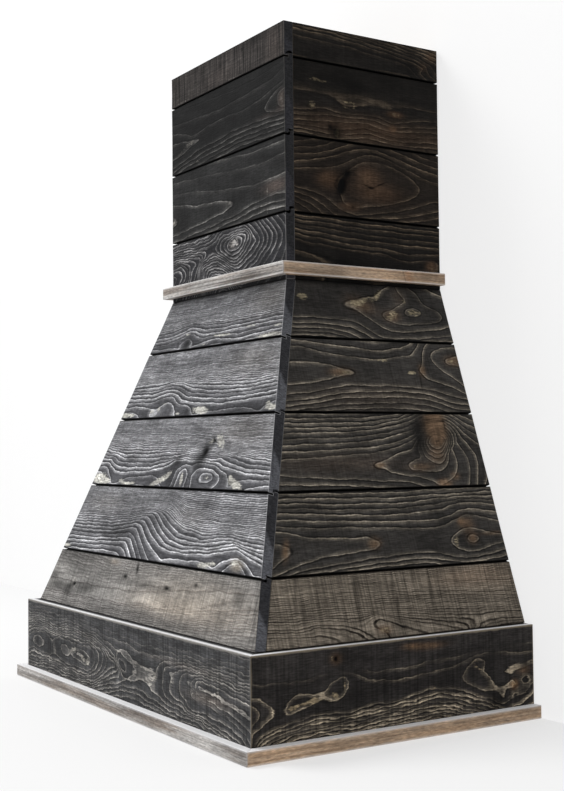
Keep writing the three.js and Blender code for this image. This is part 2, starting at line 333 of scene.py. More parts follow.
class PithRings(EffectGroup):
    """Growth rings cut from a log whose pith lies beside the stick, on its faces and its ends alike."""

    name = "pith_rings"
    takes = {"Spacing": 0.005}

    def wire(self, graph: Graph, given: Sockets) -> dict[str, Socket]:
        """Builds the distance from a slowly wandering pith and turns it into rings."""
        timber = given["Timber"]
        beside = graph.vector("ADD", graph.vector("MULTIPLY", timber, (0.12, 1.0, 1.0)), (0.0, 0.035, 0.05))
        wander = graph.times(graph.minus(graph.noise(timber, (2.2, 6.0, 6.0), 2.0), 0.5), 0.05)
        count = graph.math("DIVIDE", graph.plus(graph.vector("LENGTH", beside), wander), given["Spacing"])
        sites = graph.vector("MULTIPLY", timber, (3.0, 9.0, 9.0))
        knots = graph.node("ShaderNodeTexVoronoi", {"Vector": sites}).outputs["Distance"]
        return {
            "Ring": graph.math("POWER", graph.math("FRACT", count), 2.5),
            "Knot": graph.rest(graph.step(knots, 0.05, 0.16)),
        }


# ---- finishes


class Finish:
    """A finish, made as a material the first time that it is asked for.

    Attributes:
        name: the finish's name.
        roughness: how matt it is.
        play: how far the fibres move the roughness up and down.
        specular: how strongly it reflects.
        bump: how strongly the fine surface catches the light, and how deep it is.
    """

    name: str
    roughness: float
    play: float
    specular: float
    bump: float

    def material(self) -> Material:
        """Returns the finish as a material."""
        made = bpy.data.materials.get(self.name)
        if made is None:
            made = bpy.data.materials.new(self.name)
            made.use_nodes = True
            self.wire(Graph(made.node_tree), made.node_tree.nodes["Principled BSDF"])
        return made

    def wire(self, graph: Graph, shader: Node) -> None:
        """Builds the finish's nodes into its shader."""
        raise NotImplementedError

    def coat(self, graph: Graph, shader: Node, colour: Socket, fibre: Socket, height: Socket) -> None:
        """Fills the shader's inputs.

        Args:
            graph: the material's tree.
            shader: its shader.
            colour: the finished colour.
            fibre: the fibres, which the roughness follows.
            height: the fine relief.
        """
        takes = {"Height": height, "Strength": self.bump, "Distance": self.bump * MM}
        bump = graph.node("ShaderNodeBump", takes)
        graph.feed(shader.inputs["Base Color"], colour)
        roughness = graph.spread(fibre, self.roughness - self.play, self.roughness + self.play)
        graph.feed(shader.inputs["Roughness"], roughness)
        graph.feed(shader.inputs["Specular IOR Level"], self.specular)
        graph.feed(shader.inputs["Normal"], bump.outputs[0])


@dataclass(frozen=True)
class BrushedStain(Finish):
    """Softwood with a dark stain, brushed so that the hard late wood shows as pale lines.

    Attributes:
        hollow: the stain that stays in the soft wood between the lines.
        ridge: the pale line.
        cream: bare patches beside the knots.
        tan: the warm tint of knots and fingers.
        end_painted_shade: the end grain's stain on its upper half, darkened as painted shade.
        end_lit: the end grain's lower half, lighter, as it looks in the light.
        ledge_highlight: a painted highlight on the top of a board that stands proud, where light falls from
            above.
        raw: the unstained back.
        raw_ring: the growth rings on the back.
        ragged: how uneven the lines are, in line widths.
        fibre: how strongly the fibres show.
        saw: how strongly the saw marks show.
        shade: how dark the brushed edges are.
        wear: how pale the worn edges are.
        reach: how far the wear goes in from the edge.
        patchy: how far the lines fade here and there.
    """

    name: str
    hollow: Paint
    ridge: Paint
    cream: Paint
    tan: Paint
    end_painted_shade: Paint = (51, 51, 54)
    end_lit: Paint = (92, 93, 98)
    ledge_highlight: Paint = (238, 238, 240)
    raw: Paint = (128, 104, 78)
    raw_ring: Paint = (78, 58, 42)
    ragged: float = 0.9
    fibre: float = 0.95
    saw: float = 0.4
    shade: float = 0.55
    wear: float = 0.4
    reach: float = 1.4
    patchy: float = 0.15
    roughness: float = 0.72
    play: float = 0.08
    specular: float = 0.07
    bump: float = 0.8

    def wire(self, graph: Graph, shader: Node) -> None:
        """Builds the face first, and over it the painted light and shade of a proud top, the back, the ends
        with their painted shade, and the worn edges.
        """
        ring, duty, fade = graph.split(graph.attribute("grain", "Vector"))
        cream, tan, soot = graph.split(graph.attribute("marks", "Vector"))
        distance, end, raw = graph.split(graph.attribute("state", "Vector"))
        tone, warmth, ledge_highlight = graph.split(graph.attribute("shade", "Vector"))
        lines = GrowthLines().place(graph, Ring=ring, Duty=duty, Raggedness=self.ragged)
        wood = SawnFibre().place(graph)
        flecked = partial(graph.spread, wood["Fleck"])
        kept = graph.step(graph.noise(graph.attribute("timber", "Vector"), (24.0, 85.0, 85.0), 3.0), 0.4, 0.58)
        shown = graph.times(graph.spread(kept, 1.0 - self.patchy, 1.0), graph.rest(fade))
        line = graph.times(lines["Line"], shown)
        glow = graph.times(lines["Glow"], graph.times(shown, 0.3))
        lit = graph.math("MAXIMUM", graph.times(line, flecked(0.7, 1.3)), glow, clamp=True)
        colour = graph.blend(lit, self.hollow, self.ridge)
        warm = RaggedPatch().place(graph, Amount=tan, Breakup=0.5, Softness=0.5)["Mask"]
        colour = graph.blend(graph.times(warm, 0.75), colour, self.tan)
        bare = RaggedPatch().place(graph, Amount=cream, Breakup=1.7, Softness=0.2)["Mask"]
        colour = graph.blend(graph.times(bare, flecked(0.1, 1.5), clamp=True), colour, self.cream)
        colour = graph.blend(graph.times(warmth, 0.6, clamp=True), colour, self.tan)
        gain = graph.times(
            tone,
            graph.minus(1.0, graph.times(lines["Shade"], shown, self.shade)),
            graph.spread(wood["Fibre"], 1.0 - self.fibre, 1.0 + self.fibre),
            graph.spread(lines["Streak"], 0.25, 1.75),
            graph.spread(wood["Saw"], 1.0 - self.saw, 1.0 + self.saw),
            graph.spread(wood["Cloud"], 0.35, 1.65),
            flecked(0.4, 1.6),
            graph.rest(soot),
        )
        # Painted light on a proud top: a highlight near its outer edge, where light falls from above, and
        # painted shade further in, under the board above.
        ledge_light_and_shade = graph.blend(graph.rest(graph.step(distance, 7.0, 14.0)), self.hollow, self.ledge_highlight)
        colour = graph.blend(ledge_highlight, graph.scaled(colour, gain), graph.scaled(ledge_light_and_shade, flecked(0.7, 1.3)))
        rings = PithRings().place(graph, Spacing=0.007)["Ring"]
        pale = graph.scaled(self.raw, graph.spread(wood["Fibre"], 0.8, 1.2))
        colour = graph.blend(raw, colour, graph.blend(graph.times(rings, 0.5), pale, self.raw_ring))
        # The end grain is painted in two tones: painted shade over its upper part, its edge slanting through
        # the thickness, and the lit colour below.
        level = graph.plus(graph.attribute("level"), graph.times(wood["Cloud"], 0.12))
        cut = graph.blend(graph.step(level, 0.6, 0.7), self.end_lit, self.end_painted_shade)
        colour = graph.blend(end, colour, graph.scaled(cut, flecked(-0.1, 2.1)))
        wear = WornArris().place(graph, Distance=distance, Reach=self.reach)["Wear"]
        colour = graph.blend(graph.times(wear, graph.spread(end, self.wear, 0.0)), colour, self.ridge)
        raised = graph.plus(graph.times(line, 0.7), graph.times(wood["Fibre"], 0.8))
        self.coat(graph, shader, colour, wood["Fibre"], graph.minus(raised, graph.times(lines["Shade"], 0.35)))


@dataclass(frozen=True)
class WeatheredWash(Finish):
    """Bare weathered softwood with a thin grey wash, as on the trim.

    Attributes:
        wood: the wood's own colour.
        wash: the grey that lies on it.
        groove: the darker grain.
        wash_share: how much of the wash has stayed.
        ledge_highlight: the pale of its worn edges, and a painted highlight on its upper side.
        tan: the warm tint of knots.
    """

    name: str
    wood: Paint
    wash: Paint
    groove: Paint
    wash_share: float
    ledge_highlight: Paint = (250, 250, 252)
    tan: Paint = (150, 96, 52)
    roughness: float = 0.75
    play: float = 0.1
    specular: float = 0.3
    bump: float = 0.6

    def wire(self, graph: Graph, shader: Node) -> None:
        """Builds the washed wood, and over it the painted highlight of its upper side and the worn edges."""
        timber = graph.attribute("timber", "Vector")
        distance, end, _ = graph.split(graph.attribute("state", "Vector"))
        _, tan, soot = graph.split(graph.attribute("marks", "Vector"))
        tone, _, ledge_highlight = graph.split(graph.attribute("shade", "Vector"))
        wood = SawnFibre().place(graph)
        streak = graph.step(graph.noise(timber, (1.6, 230.0, 160.0), 4.0), 0.49, 0.6)
        blotch = graph.step(graph.noise(timber, (6.0, 90.0, 60.0), 4.0), 0.35, 0.68)
        colour = graph.blend(graph.times(blotch, self.wash_share * 1.6, clamp=True), self.wood, self.wash)
        colour = graph.blend(graph.times(streak, 0.5), colour, self.groove)
        colour = graph.blend(graph.times(tan, 0.8, clamp=True), colour, self.tan)
        gain = graph.times(
            graph.spread(wood["Fibre"], 0.45, 1.55),
            graph.spread(wood["Fleck"], 0.3, 1.7),
            graph.spread(wood["Cloud"], 0.2, 1.8),
            graph.rest(soot),
            graph.spread(end, 1.0, 0.8),
            tone,
        )
        # Painted highlight on the upper side, where light falls from above.
        colour = graph.blend(graph.times(ledge_highlight, 0.9), graph.scaled(colour, gain), self.ledge_highlight)
        wear = WornArris().place(graph, Distance=distance, Reach=2.4)["Wear"]
        colour = graph.blend(graph.times(wear, 0.33), colour, self.ledge_highlight)
        self.coat(graph, shader, colour, wood["Fibre"], graph.minus(graph.times(wood["Fibre"], 0.6), streak))


@dataclass(frozen=True)
class PlanedPine(Finish):
    """Unfinished planed softwood, as on the frame inside.

    Attributes:
        early: the pale wood between the rings.
        late: the darker ring.
        knot: the knots.
        stain: the dark on a rail's top where it shows under the boards, painted shade in that gap.
    """

    name: str
    early: Paint
    late: Paint
    knot: Paint
    stain: Paint = (48, 45, 42)
    roughness: float = 0.7
    play: float = 0.08
    specular: float = 0.3
    bump: float = 0.4

    def wire(self, graph: Graph, shader: Node) -> None:
        """Builds the rings, the knots and the stain that has run over them."""
        wood = SawnFibre().place(graph)
        rings = PithRings().place(graph, Spacing=0.0048)
        colour = graph.blend(graph.times(rings["Ring"], 0.75), self.early, self.late)
        colour = graph.blend(graph.times(rings["Knot"], 0.85), colour, self.knot)
        # Painted shade on the top of a base rail, where it shows in the gap under the boards.
        colour = graph.blend(graph.attribute("stained"), colour, self.stain)
        gain = graph.times(graph.spread(wood["Fibre"], 0.88, 1.12), graph.spread(wood["Cloud"], 0.88, 1.12))
        height = graph.plus(wood["Fibre"], graph.times(rings["Ring"], 0.5))
        self.coat(graph, shader, graph.scaled(colour, gain), wood["Fibre"], height)


# The flare's front boards lean back and catch light from above: their stain is painted paler and greyer than
# the chimney's, the stain's own grey and a painted sheen.
FLARE_FRONT_STAIN_AND_SHEEN = BrushedStain(
    "brushed_stain_flare_front", (77, 77, 80), (204, 204, 207), (197, 195, 187), (138, 130, 118),
    fibre=0.85, wear=0.5,
)
FLARE_SIDE_STAIN = BrushedStain(
    "brushed_stain_flare_side", (51, 49, 47), (146, 137, 123), (158, 146, 120), (112, 90, 70),
    saw=0.5, shade=0.9, wear=0.16, patchy=0.45,
)
CHIMNEY_FRONT_STAIN = BrushedStain(
    "brushed_stain_chimney_front", (38, 38, 38), (126, 124, 121), (140, 136, 130), (102, 90, 84),
    end_painted_shade=(41, 41, 43), end_lit=(50, 50, 54), patchy=0.6,
)
CHIMNEY_TOP_STAIN = replace(CHIMNEY_FRONT_STAIN, name="sawn_stain_chimney_front", fibre=0.4, saw=2.2)
CHIMNEY_KNOTTY_STAIN = replace(
    CHIMNEY_FRONT_STAIN,
    name="knotty_stain_chimney_front", hollow=(50, 50, 53), ridge=(188, 186, 186), cream=(196, 192, 188),
)
CHIMNEY_SIDE_STAIN = BrushedStain(
    "brushed_stain_chimney_side", (28, 26, 24), (106, 93, 78), (124, 112, 90), (86, 66, 50),
    shade=0.7, wear=0.16, patchy=0.6,
)
APRON_FRONT_STAIN = BrushedStain(
    "brushed_stain_apron_front", (61, 61, 62), (156, 152, 146), (152, 148, 140), (116, 106, 98),
    ragged=2.2, saw=0.9, wear=0.85, reach=3.0, patchy=0.6,
)
APRON_SIDE_STAIN = BrushedStain(
    "brushed_stain_apron_side", (33, 31, 30), (138, 127, 110), (136, 122, 98), (104, 80, 58),
    ragged=2.2, saw=0.9, wear=0.85, reach=3.0, patchy=0.7,
)
# The flare's foot board is painted pale as well, its own grey and a painted sheen.
FLARE_FOOT_FRONT_STAIN_AND_SHEEN = BrushedStain(
    "plain_stain_flare_front", (132, 130, 127), (84, 80, 79), (166, 162, 157), (156, 145, 132),
    fibre=0.45, saw=0.7, shade=0.3,
)
FLARE_FOOT_SIDE_STAIN = BrushedStain(
    "plain_stain_flare_side", (128, 119, 107), (28, 24, 21), (150, 136, 112), (120, 98, 80),
    fibre=0.8, saw=1.1, shade=0.1,
)
TRIM_FRONT_WASH = WeatheredWash("weathered_wash_front", (140, 130, 122), (184, 181, 178), (78, 72, 67), 0.6)
TRIM_SIDE_WASH = WeatheredWash("weathered_wash_side", (186, 157, 129), (158, 150, 138), (122, 98, 74), 0.26)
PINE = PlanedPine("planed_pine", (214, 182, 134), (176, 130, 82), (110, 70, 42))


# ---- the grain of a board


class Stain(Enum):
    """What a mark does to the wood, by its place in a board's table of marks."""

    CREAM = 0
    TAN = 1
    SOOT = 2
    FADE = 3


@dataclass(frozen=True)
class Places:
    """Points on a board's face.

    Attributes:
        x: how far along the board they are, from the left as seen.
        y: how far up the face they are.
        length: the board's length.
        height: the face's height.
    """

    x: ndarray
    y: ndarray
    length: float
    height: float


@dataclass(frozen=True)
class Mark:
    """A soft oval patch on a board's face.

    Attributes:
        stain: what it does to the wood.
        along: its middle, in percent of the board's length from the left as seen.
        up: its middle, in percent of the face's height from the lower edge.
        length: its reach along its own axis.
        height: its reach across.
        strength: how strong it is in the middle, in percent.
        tilt: the angle of its axis, in degrees, rising to the right.
    """

    stain: Stain
    along: float
    up: float
    length: float
    height: float
    strength: float
    tilt: float = 0.0

    def amount(self, places: Places) -> ndarray:
        """Works out how strong the patch is.

        Args:
            places: points on the board's face.

        Returns:
            The strength at each point.
        """
        turn = math.radians(self.tilt)
        dx, dy = places.x - self.along / 100 * places.length, places.y - self.up / 100 * places.height
        run = (dx * math.cos(turn) + dy * math.sin(turn)) / self.length
        climb = (dy * math.cos(turn) - dx * math.sin(turn)) / self.height
        return self.strength / 100 * np.exp(-0.5 * (run**2 + climb**2))


# Bare pale patches, warm brown ones, dark ones, and ones where the growth lines die away.
cream, tan, soot, fade = (partial(Mark, stain) for stain in Stain)


class RingSurface:
    """A thin plate bent over a board's growth lines, which gives the ring count everywhere between them."""

    spacing = 0.07
    slack = 0.0006
    batch = 4000

    def __init__(self, lines: Sequence[Sequence[float]], size: tuple[float, float], stretch: float) -> None:
        """Bends the plate.

        Args:
            lines: for each line its count, and then the points it passes, as percent along and up.
            size: the face's length and height.
            stretch: how much further a line's pull reaches along the board than up it.
        """
        self.unit = np.array([size[1] * stretch, size[1]])
        sites, counts = [], []
        for count, *flat in lines:
            points = np.array(flat, float).reshape(-1, 2) / 100 * size / self.unit
            reach = np.concatenate([[0.0], np.cumsum(np.hypot(*np.diff(points, axis=0).T))])
            picks = np.linspace(0, reach[-1], max(2, math.ceil(reach[-1] / self.spacing) + 1))
            sites.append(np.column_stack([np.interp(picks, reach, points[:, i]) for i in range(2)]))
            counts.append(np.full(len(picks), float(count)))
        self.sites = np.concatenate(sites)
        number = len(self.sites)
        table = np.zeros((number + 3, number + 3))
        table[:number, :number] = self._pull(self.sites)[0] + self.slack * np.eye(number)
        table[:number, number:] = np.column_stack([np.ones(number), self.sites])
        table[number:, :number] = table[:number, number:].T
        self.weights = np.linalg.solve(table, np.concatenate([np.concatenate(counts), np.zeros(3)]))

    def _pull(self, places: ndarray) -> tuple[ndarray, ndarray, ndarray]:
        """Returns each site's pull on each place, its rate of change by distance, and the offsets."""
        offset = places[:, None, :] - self.sites[None, :, :]
        square = np.maximum(np.sum(offset**2, axis=2), 1e-12)
        log = np.log(square)
        return 0.5 * square * log, log + 1.0, offset

    def at(self, places: ndarray) -> tuple[ndarray, ndarray]:
        """Reads the plate.

        Args:
            places: rows of places along and up the board.

        Returns:
            The ring count, and how fast it changes to the millimetre.
        """
        counts, slopes = [], []
        bent, flat = self.weights[:-3], self.weights[-3:]
        for start in range(0, len(places), self.batch):
            part = places[start : start + self.batch] / self.unit
            pull, rate, offset = self._pull(part)
            counts.append(pull @ bent + flat[0] + part @ flat[1:])
            slope = np.einsum("ij,ijk->ik", rate * bent, offset) + flat[1:]
            slopes.append(np.hypot(*(slope / self.unit).T))
        return np.concatenate(counts), np.concatenate(slopes)


# The lengths of the waves in a growth line.
WAVES = (120.0, 71.0, 43.0, 24.0, 13.0)
# The least and the most of a ring that its line takes up, and the share from which it is too fine to brush.
LINE_LEAST, LINE_MOST, LINE_FINE = 0.07, 0.5, 0.42


@dataclass(frozen=True)
class Figure:
    """The grain that shows on one board's face.

    Attributes:
        finish: the board's finish.
        lines: its growth lines, each a ring count and then the points it passes, as percent along and up.
        marks: its patches of colour.
        tone: how light the board is beside its neighbours.
        warmth: how brown it is, 0 to 1.
        dim: how faint all its lines are, 0 to 1.
        line: the thickness of a line.
        wobble: how far the lines waver.
        thicket: how many rings there are for each drawn one.
        stretch: how much further a line's pull reaches along the board than up it.
        seed: the seed of its wavering.
    """

    finish: Finish
    lines: tuple[tuple[float, ...], ...] = ((0, 0, 0, 50, 0, 100, 0), (24, 0, 100, 50, 100, 100, 100))
    marks: tuple[Mark, ...] = ()
    tone: float = 1.0
    warmth: float = 0.0
    dim: float = 0.0
    line: float = 2.2
    wobble: float = 0.5
    thicket: float = 1.0
    stretch: float = 2.4
    seed: int = 1

    def _waver(self, places: Places) -> ndarray:
        """Returns a smooth, seeded unevenness, long along the board and short across."""
        draw = np.random.default_rng(self.seed)
        total = np.zeros_like(places.x)
        for wave in WAVES:
            turn, lean = draw.uniform(0, 2 * math.pi), draw.uniform(-0.9, 0.9)
            phase = 2 * math.pi / wave * (places.x + lean * 2.5 * places.y) + turn
            total += (wave / WAVES[0]) ** 0.45 * np.sin(phase)
        return self.wobble * total

    def drawn(self, places: Places) -> tuple[ndarray, ndarray]:
        """Draws the figure on a board's face.

        Args:
            places: the points to draw it on.

        Returns:
            The (ring count, line share, fade) and the (cream, tan, soot) at each point.
        """
        rings = RingSurface(self.lines, (places.length, places.height), self.stretch)
        count, slope = rings.at(np.column_stack([places.x, places.y + self._waver(places)]))
        amounts = {stain: np.zeros_like(places.x) for stain in Stain}
        amounts[Stain.FADE] += self.dim
        for mark in self.marks:
            amounts[mark.stain] += mark.amount(places)
        *stains, fading = (np.clip(amounts[stain], 0, 1) for stain in Stain)
        duty = np.clip(self.line * (self.thicket * slope), LINE_LEAST, LINE_MOST)
        return np.column_stack([self.thicket * count, duty, fading]), np.column_stack(stains)


# The rings at the top of a board where they lie close, and the painted shadow under the collar on the boards
# next to it.
DENSE_TOP = (34, 0, 100, 50, 100, 100, 100)
FLARE_TOP_COLLAR_SHADOW = soot(50, 102, 900, 5, 74)
CHIMNEY_FOOT_COLLAR_SHADOW = soot(50, -3, 900, 7, 74)

CHIMNEY_FRONT_FIGURES = (
    Figure(CHIMNEY_TOP_STAIN, marks=(
        tan(45, 30, 40, 14, 25), tan(93, 40, 26, 40, 35), soot(66, 78, 3, 3, 70), soot(47, 62, 3, 2, 60),
        soot(22, 85, 14, 3, 40), soot(78, 88, 30, 5, 40), cream(12, 6, 30, 2, 50), cream(60, 4, 30, 2, 50),
    ), tone=0.74, warmth=0.28, dim=0.93, seed=11),
    Figure(CHIMNEY_FRONT_STAIN, (
        (0, 0, 47, 6, 46, 12, 44, 16, 42, 22, 41, 27, 39, 22, 36, 15, 31, 8, 26, 3, 24, 0, 23),
        (1, 20, 48, 30, 50, 36, 52, 48, 54, 55, 54, 62, 52, 68, 51, 73, 54, 80, 57, 87, 60, 94, 65, 100, 70),
        (1, 0, 11, 8, 14, 16, 18, 22, 22, 30, 25, 40, 26, 50, 28, 62, 31, 70, 30, 80, 29, 90, 27, 100, 26),
        (2, 0, 4, 16, 12, 30, 17, 45, 20, 60, 23, 70, 24, 85, 22, 100, 19),
        (3, 16, 6, 30, 10, 50, 14, 65, 17, 80, 16, 100, 13), (4, 20, 0, 40, 6, 60, 11, 80, 10, 100, 7),
        (2, 0, 75, 30, 70, 50, 68, 68, 72, 82, 74, 90, 77, 100, 84), (3.4, 0, 100, 40, 95, 70, 90, 100, 97),
        (-1, 100, 58, 96, 55, 94.5, 47, 96, 38, 100, 34),
    ), (
        cream(19, 39, 22, 4, 60, 4), cream(8, 29, 22, 3, 50, 14), tan(98, 45, 9, 12, 95),
        fade(22, 85, 260, 26, 80), fade(75, 90, 200, 18, 70), cream(98, 46, 6, 9, 50), tan(90, 32, 50, 5, 35),
        soot(40, 40, 40, 10, 35), cream(25, 8, 6, 2, 60),
    ), tone=0.45, seed=12),
    Figure(CHIMNEY_FRONT_STAIN, (
        (0, 0, 56, 8, 54, 14, 51, 20, 47, 26, 44, 32, 43, 45, 41, 50, 38, 54, 36, 56.5, 33, 54, 28, 50, 24,
         44, 21.5), (0, 44, 21.5, 38, 20, 30, 18, 20, 15, 10, 13, 0, 11),
        (1, 0, 1, 20, 5, 40, 9, 48, 12, 55, 12.5, 62, 16, 70, 20, 78, 22.5, 87, 26, 94, 25, 100, 24),
        (2, 40, 2, 50, 5, 62, 9, 75, 14, 87, 16, 100, 14), (3, 60, 0, 72, 5, 87, 8, 100, 6),
        (1, 40, 58, 52, 53, 60, 51, 68, 49, 75, 47, 80, 46.5, 90, 48, 100, 50),
        (2, 0, 90, 30, 84, 60, 76, 80, 72, 100, 76), (3, 40, 100, 70, 92, 100, 92),
        (-1, 0, 38, 2, 35, 4.5, 31, 2, 27, 0, 25),
    ), (
        cream(1, 31, 8, 5, 70), tan(92, 36, 34, 10, 60), cream(86, 33, 3, 8, 50), cream(54, 33, 9, 4, 50),
        fade(30, 80, 290, 24, 88), soot(68, 40, 30, 12, 30), cream(86, 7, 3, 12, 40),
    ), tone=1.02, seed=13),
    Figure(CHIMNEY_KNOTTY_STAIN, (
        (3, 52, 72, 54, 82, 59, 85, 63, 82, 65, 74, 62, 66, 58, 62, 54, 65, 52, 72),
        (4, 45.5, 74, 47, 82, 50, 87, 57, 90, 64, 90, 69, 86, 71, 79, 69, 70, 66, 60, 61, 49, 58, 49, 54, 54,
         50, 62, 46, 68, 45.5, 74),
        (5, 30, 58, 36, 64, 42, 64, 48, 55, 54, 45, 59, 38, 64, 42, 70, 54, 74, 63, 76.5, 71, 74, 79, 72, 88,
         68, 97), (5, 36, 80, 42, 86, 46, 95, 50, 100),
        (6, 28, 47, 36, 55, 43, 56, 50, 44, 56, 33, 60, 25, 66, 30, 74, 42, 81, 58, 83, 70, 81, 82, 77, 94),
        (7, 38, 46, 44, 47, 52, 33, 58, 20, 62, 12, 70, 18, 80, 36, 89, 58, 90, 72, 87, 84, 83, 96),
        (8, 38, 36, 46, 36, 54, 22, 60, 8, 62, 3), (8, 78, 4, 90, 30, 97, 56, 97.5, 70, 94, 84, 90, 97),
        (9, 40, 26, 48, 25, 56, 10, 59, 2), (10, 44, 18, 51, 14, 55, 3),
        (1, 0, 52, 6, 52, 9, 46, 9, 36, 6, 28), (2, 0, 60, 8, 61, 13, 56, 15.5, 47, 15, 36, 11, 25),
        (3, 0, 67, 10, 67, 18, 65, 22, 61, 22, 55, 19, 46, 18, 34, 16, 20),
        (4, 0, 76, 10, 74, 20, 72, 27, 73, 29.5, 66, 28, 57, 25, 46, 24, 30, 22, 14),
        (5, 0, 84, 12, 82, 24, 81, 32, 80), (6, 0, 92, 20, 90, 36, 93),
    ), (
        cream(58, 74, 15, 8, 65), cream(49, 17, 15, 2, 70, -8), fade(90, 22, 60, 17, 80),
        fade(28, 22, 40, 14, 70), soot(14, 18, 50, 10, 30), soot(82, 20, 40, 14, 35), tan(56, 72, 10, 6, 40),
        cream(3, 22, 12, 6, 40), CHIMNEY_FOOT_COLLAR_SHADOW,
    ), tone=0.74, line=1.9, wobble=0.9, stretch=1.5, thicket=2.0, seed=14),
)

CHIMNEY_SIDE_FIGURES = (
    Figure(CHIMNEY_SIDE_STAIN, (
        (1, 5, 66, 20, 60, 30, 58), (2, 8, 84, 25, 80, 45, 74, 60, 62, 72, 56, 84, 48, 90, 36, 88, 22),
        (3, 5, 93, 30, 90, 50, 82, 65, 71, 78, 64, 87, 56, 92, 44, 93, 30),
        (4, 20, 99, 50, 91, 70, 79, 84, 70, 94, 50), (5, 45, 100, 70, 88, 88, 76, 98, 60),
        (6, 65, 100, 80, 92, 95, 78), (0, 5, 5, 50, 5, 80, 5),
    ), (
        tan(96, 78, 10, 8, 60), tan(90, 40, 10, 8, 40), fade(40, 20, 130, 18, 80), soot(80, 30, 30, 16, 40),
    ), tone=0.95, dim=0.25, seed=21),
    Figure(CHIMNEY_SIDE_STAIN, (
        (1, 7, 34, 14, 36, 20, 39, 26, 41, 31, 38, 36, 36, 44, 38, 50, 40, 56, 41, 62, 38, 68, 33, 74, 37,
         84, 42, 91, 45), (2, 7, 27, 18, 30, 30, 32, 45, 34, 56, 36, 67, 28, 78, 32, 100, 37),
        (3, 7, 20, 30, 24, 50, 29, 66, 22, 82, 27, 100, 30), (4, 7, 14, 30, 14, 50, 22, 70, 16, 100, 23),
        (6, 7, 4, 30, 1, 50, 8, 75, 5, 100, 8), (0, 7, 62, 50, 60, 100, 60), (-1, 7, 100, 50, 100, 100, 100),
    ), (
        cream(18, 77, 9, 3, 62), cream(24, 76, 8, 1.5, 50), cream(17, 42, 7, 6, 60),
        cream(39, 53, 16, 1.6, 75), cream(43.5, 49, 2, 5, 60), cream(38, 46, 12, 1.6, 50),
        tan(71, 47, 12, 4, 90), cream(71, 47, 9, 3, 50), tan(69, 26, 5, 4, 90), tan(55, 18, 150, 22, 50),
        soot(32, 9, 8, 12, 95), soot(28, 16, 5, 5, 80), cream(32.3, 9, 3.4, 6, 95), soot(50, 82, 260, 26, 30),
        fade(50, 82, 300, 28, 80),
    ), dim=0.15, seed=22),
    Figure(CHIMNEY_SIDE_STAIN, (
        (0, 33, 40, 36, 20, 42, 12, 47, 16, 55, 19, 65, 22, 75, 29, 83, 38, 87, 47, 83, 60, 72, 72, 60, 78,
         50, 77, 42, 68, 34, 52, 33, 40),
        (1, 6, 33, 14, 31, 22, 27, 29, 17, 35, 8, 42, 4, 55, 8, 70, 14, 84, 24, 95, 33, 100, 34),
        (1, 6, 57, 14, 59, 24, 62, 32, 66, 38, 73, 46, 82, 55, 88, 62, 86, 72, 79, 82, 70, 92, 62, 100, 60),
        (2, 6, 26, 16, 22, 24, 12, 30, 2),
        (2, 6, 67, 18, 71, 28, 78, 38, 88, 50, 95, 62, 93, 76, 84, 88, 76, 100, 72),
        (3, 6, 20, 15, 14, 21, 5), (3, 6, 76, 20, 80, 30, 88, 38, 96), (3, 66, 100, 80, 91, 90, 84, 100, 82),
        (4, 6, 13, 12, 8, 16, 1), (4, 6, 84, 20, 89, 28, 97), (4, 80, 100, 92, 92, 100, 90),
        (5, 6, 92, 18, 98), (2, 55, 2, 75, 6, 100, 22), (3, 75, 0, 100, 12), (-0.6, 50, 45, 60, 48, 70, 50),
    ), (
        soot(36, 43, 7, 15, 100, -24), soot(34.5, 40, 5, 10, 100), soot(39, 60, 8, 5, 80, 30),
        tan(27, 48, 20, 12, 70), soot(51.5, 45, 8, 0.9, 100, -14), soot(54, 43, 4, 1.3, 100),
        soot(60, 49, 13, 0.9, 100, 24), tan(60, 36, 40, 14, 50), tan(52, 60, 20, 14, 50),
        soot(42, 14, 4, 2, 90), fade(56, 46, 52, 24, 60), tan(40, 14, 18, 6, 60), fade(56, 72, 40, 14, 50),
        tan(50, 44, 60, 26, 15),
    ), tone=0.9, warmth=0.1, seed=23),
    Figure(CHIMNEY_SIDE_STAIN, (
        (0, 5, 44, 12, 42, 18, 37, 22, 31, 26, 19, 25, 12, 23, 6, 22, 0),
        (1, 5, 62, 15, 57, 30, 54, 45, 51, 56, 50, 63, 49, 69, 44, 78, 41, 88, 43, 95, 46, 98, 38, 97, 31,
         92, 26, 86, 17, 80, 13, 68, 6, 55, 1), (2, 5, 70, 20, 65, 40, 60, 60, 58, 80, 52, 100, 56),
        (3, 5, 77, 30, 71, 60, 67, 100, 66), (4, 5, 84, 30, 80, 60, 76, 100, 75), (5, 5, 91, 50, 86, 100, 85),
        (6, 5, 98, 50, 94, 100, 93),
    ), (
        tan(94, 36, 10, 8, 95), cream(94, 35, 8, 6, 35), tan(23, 20, 6, 7, 70), soot(50, 25, 70, 18, 35),
        CHIMNEY_FOOT_COLLAR_SHADOW,
    ), tone=0.85, seed=24),
)

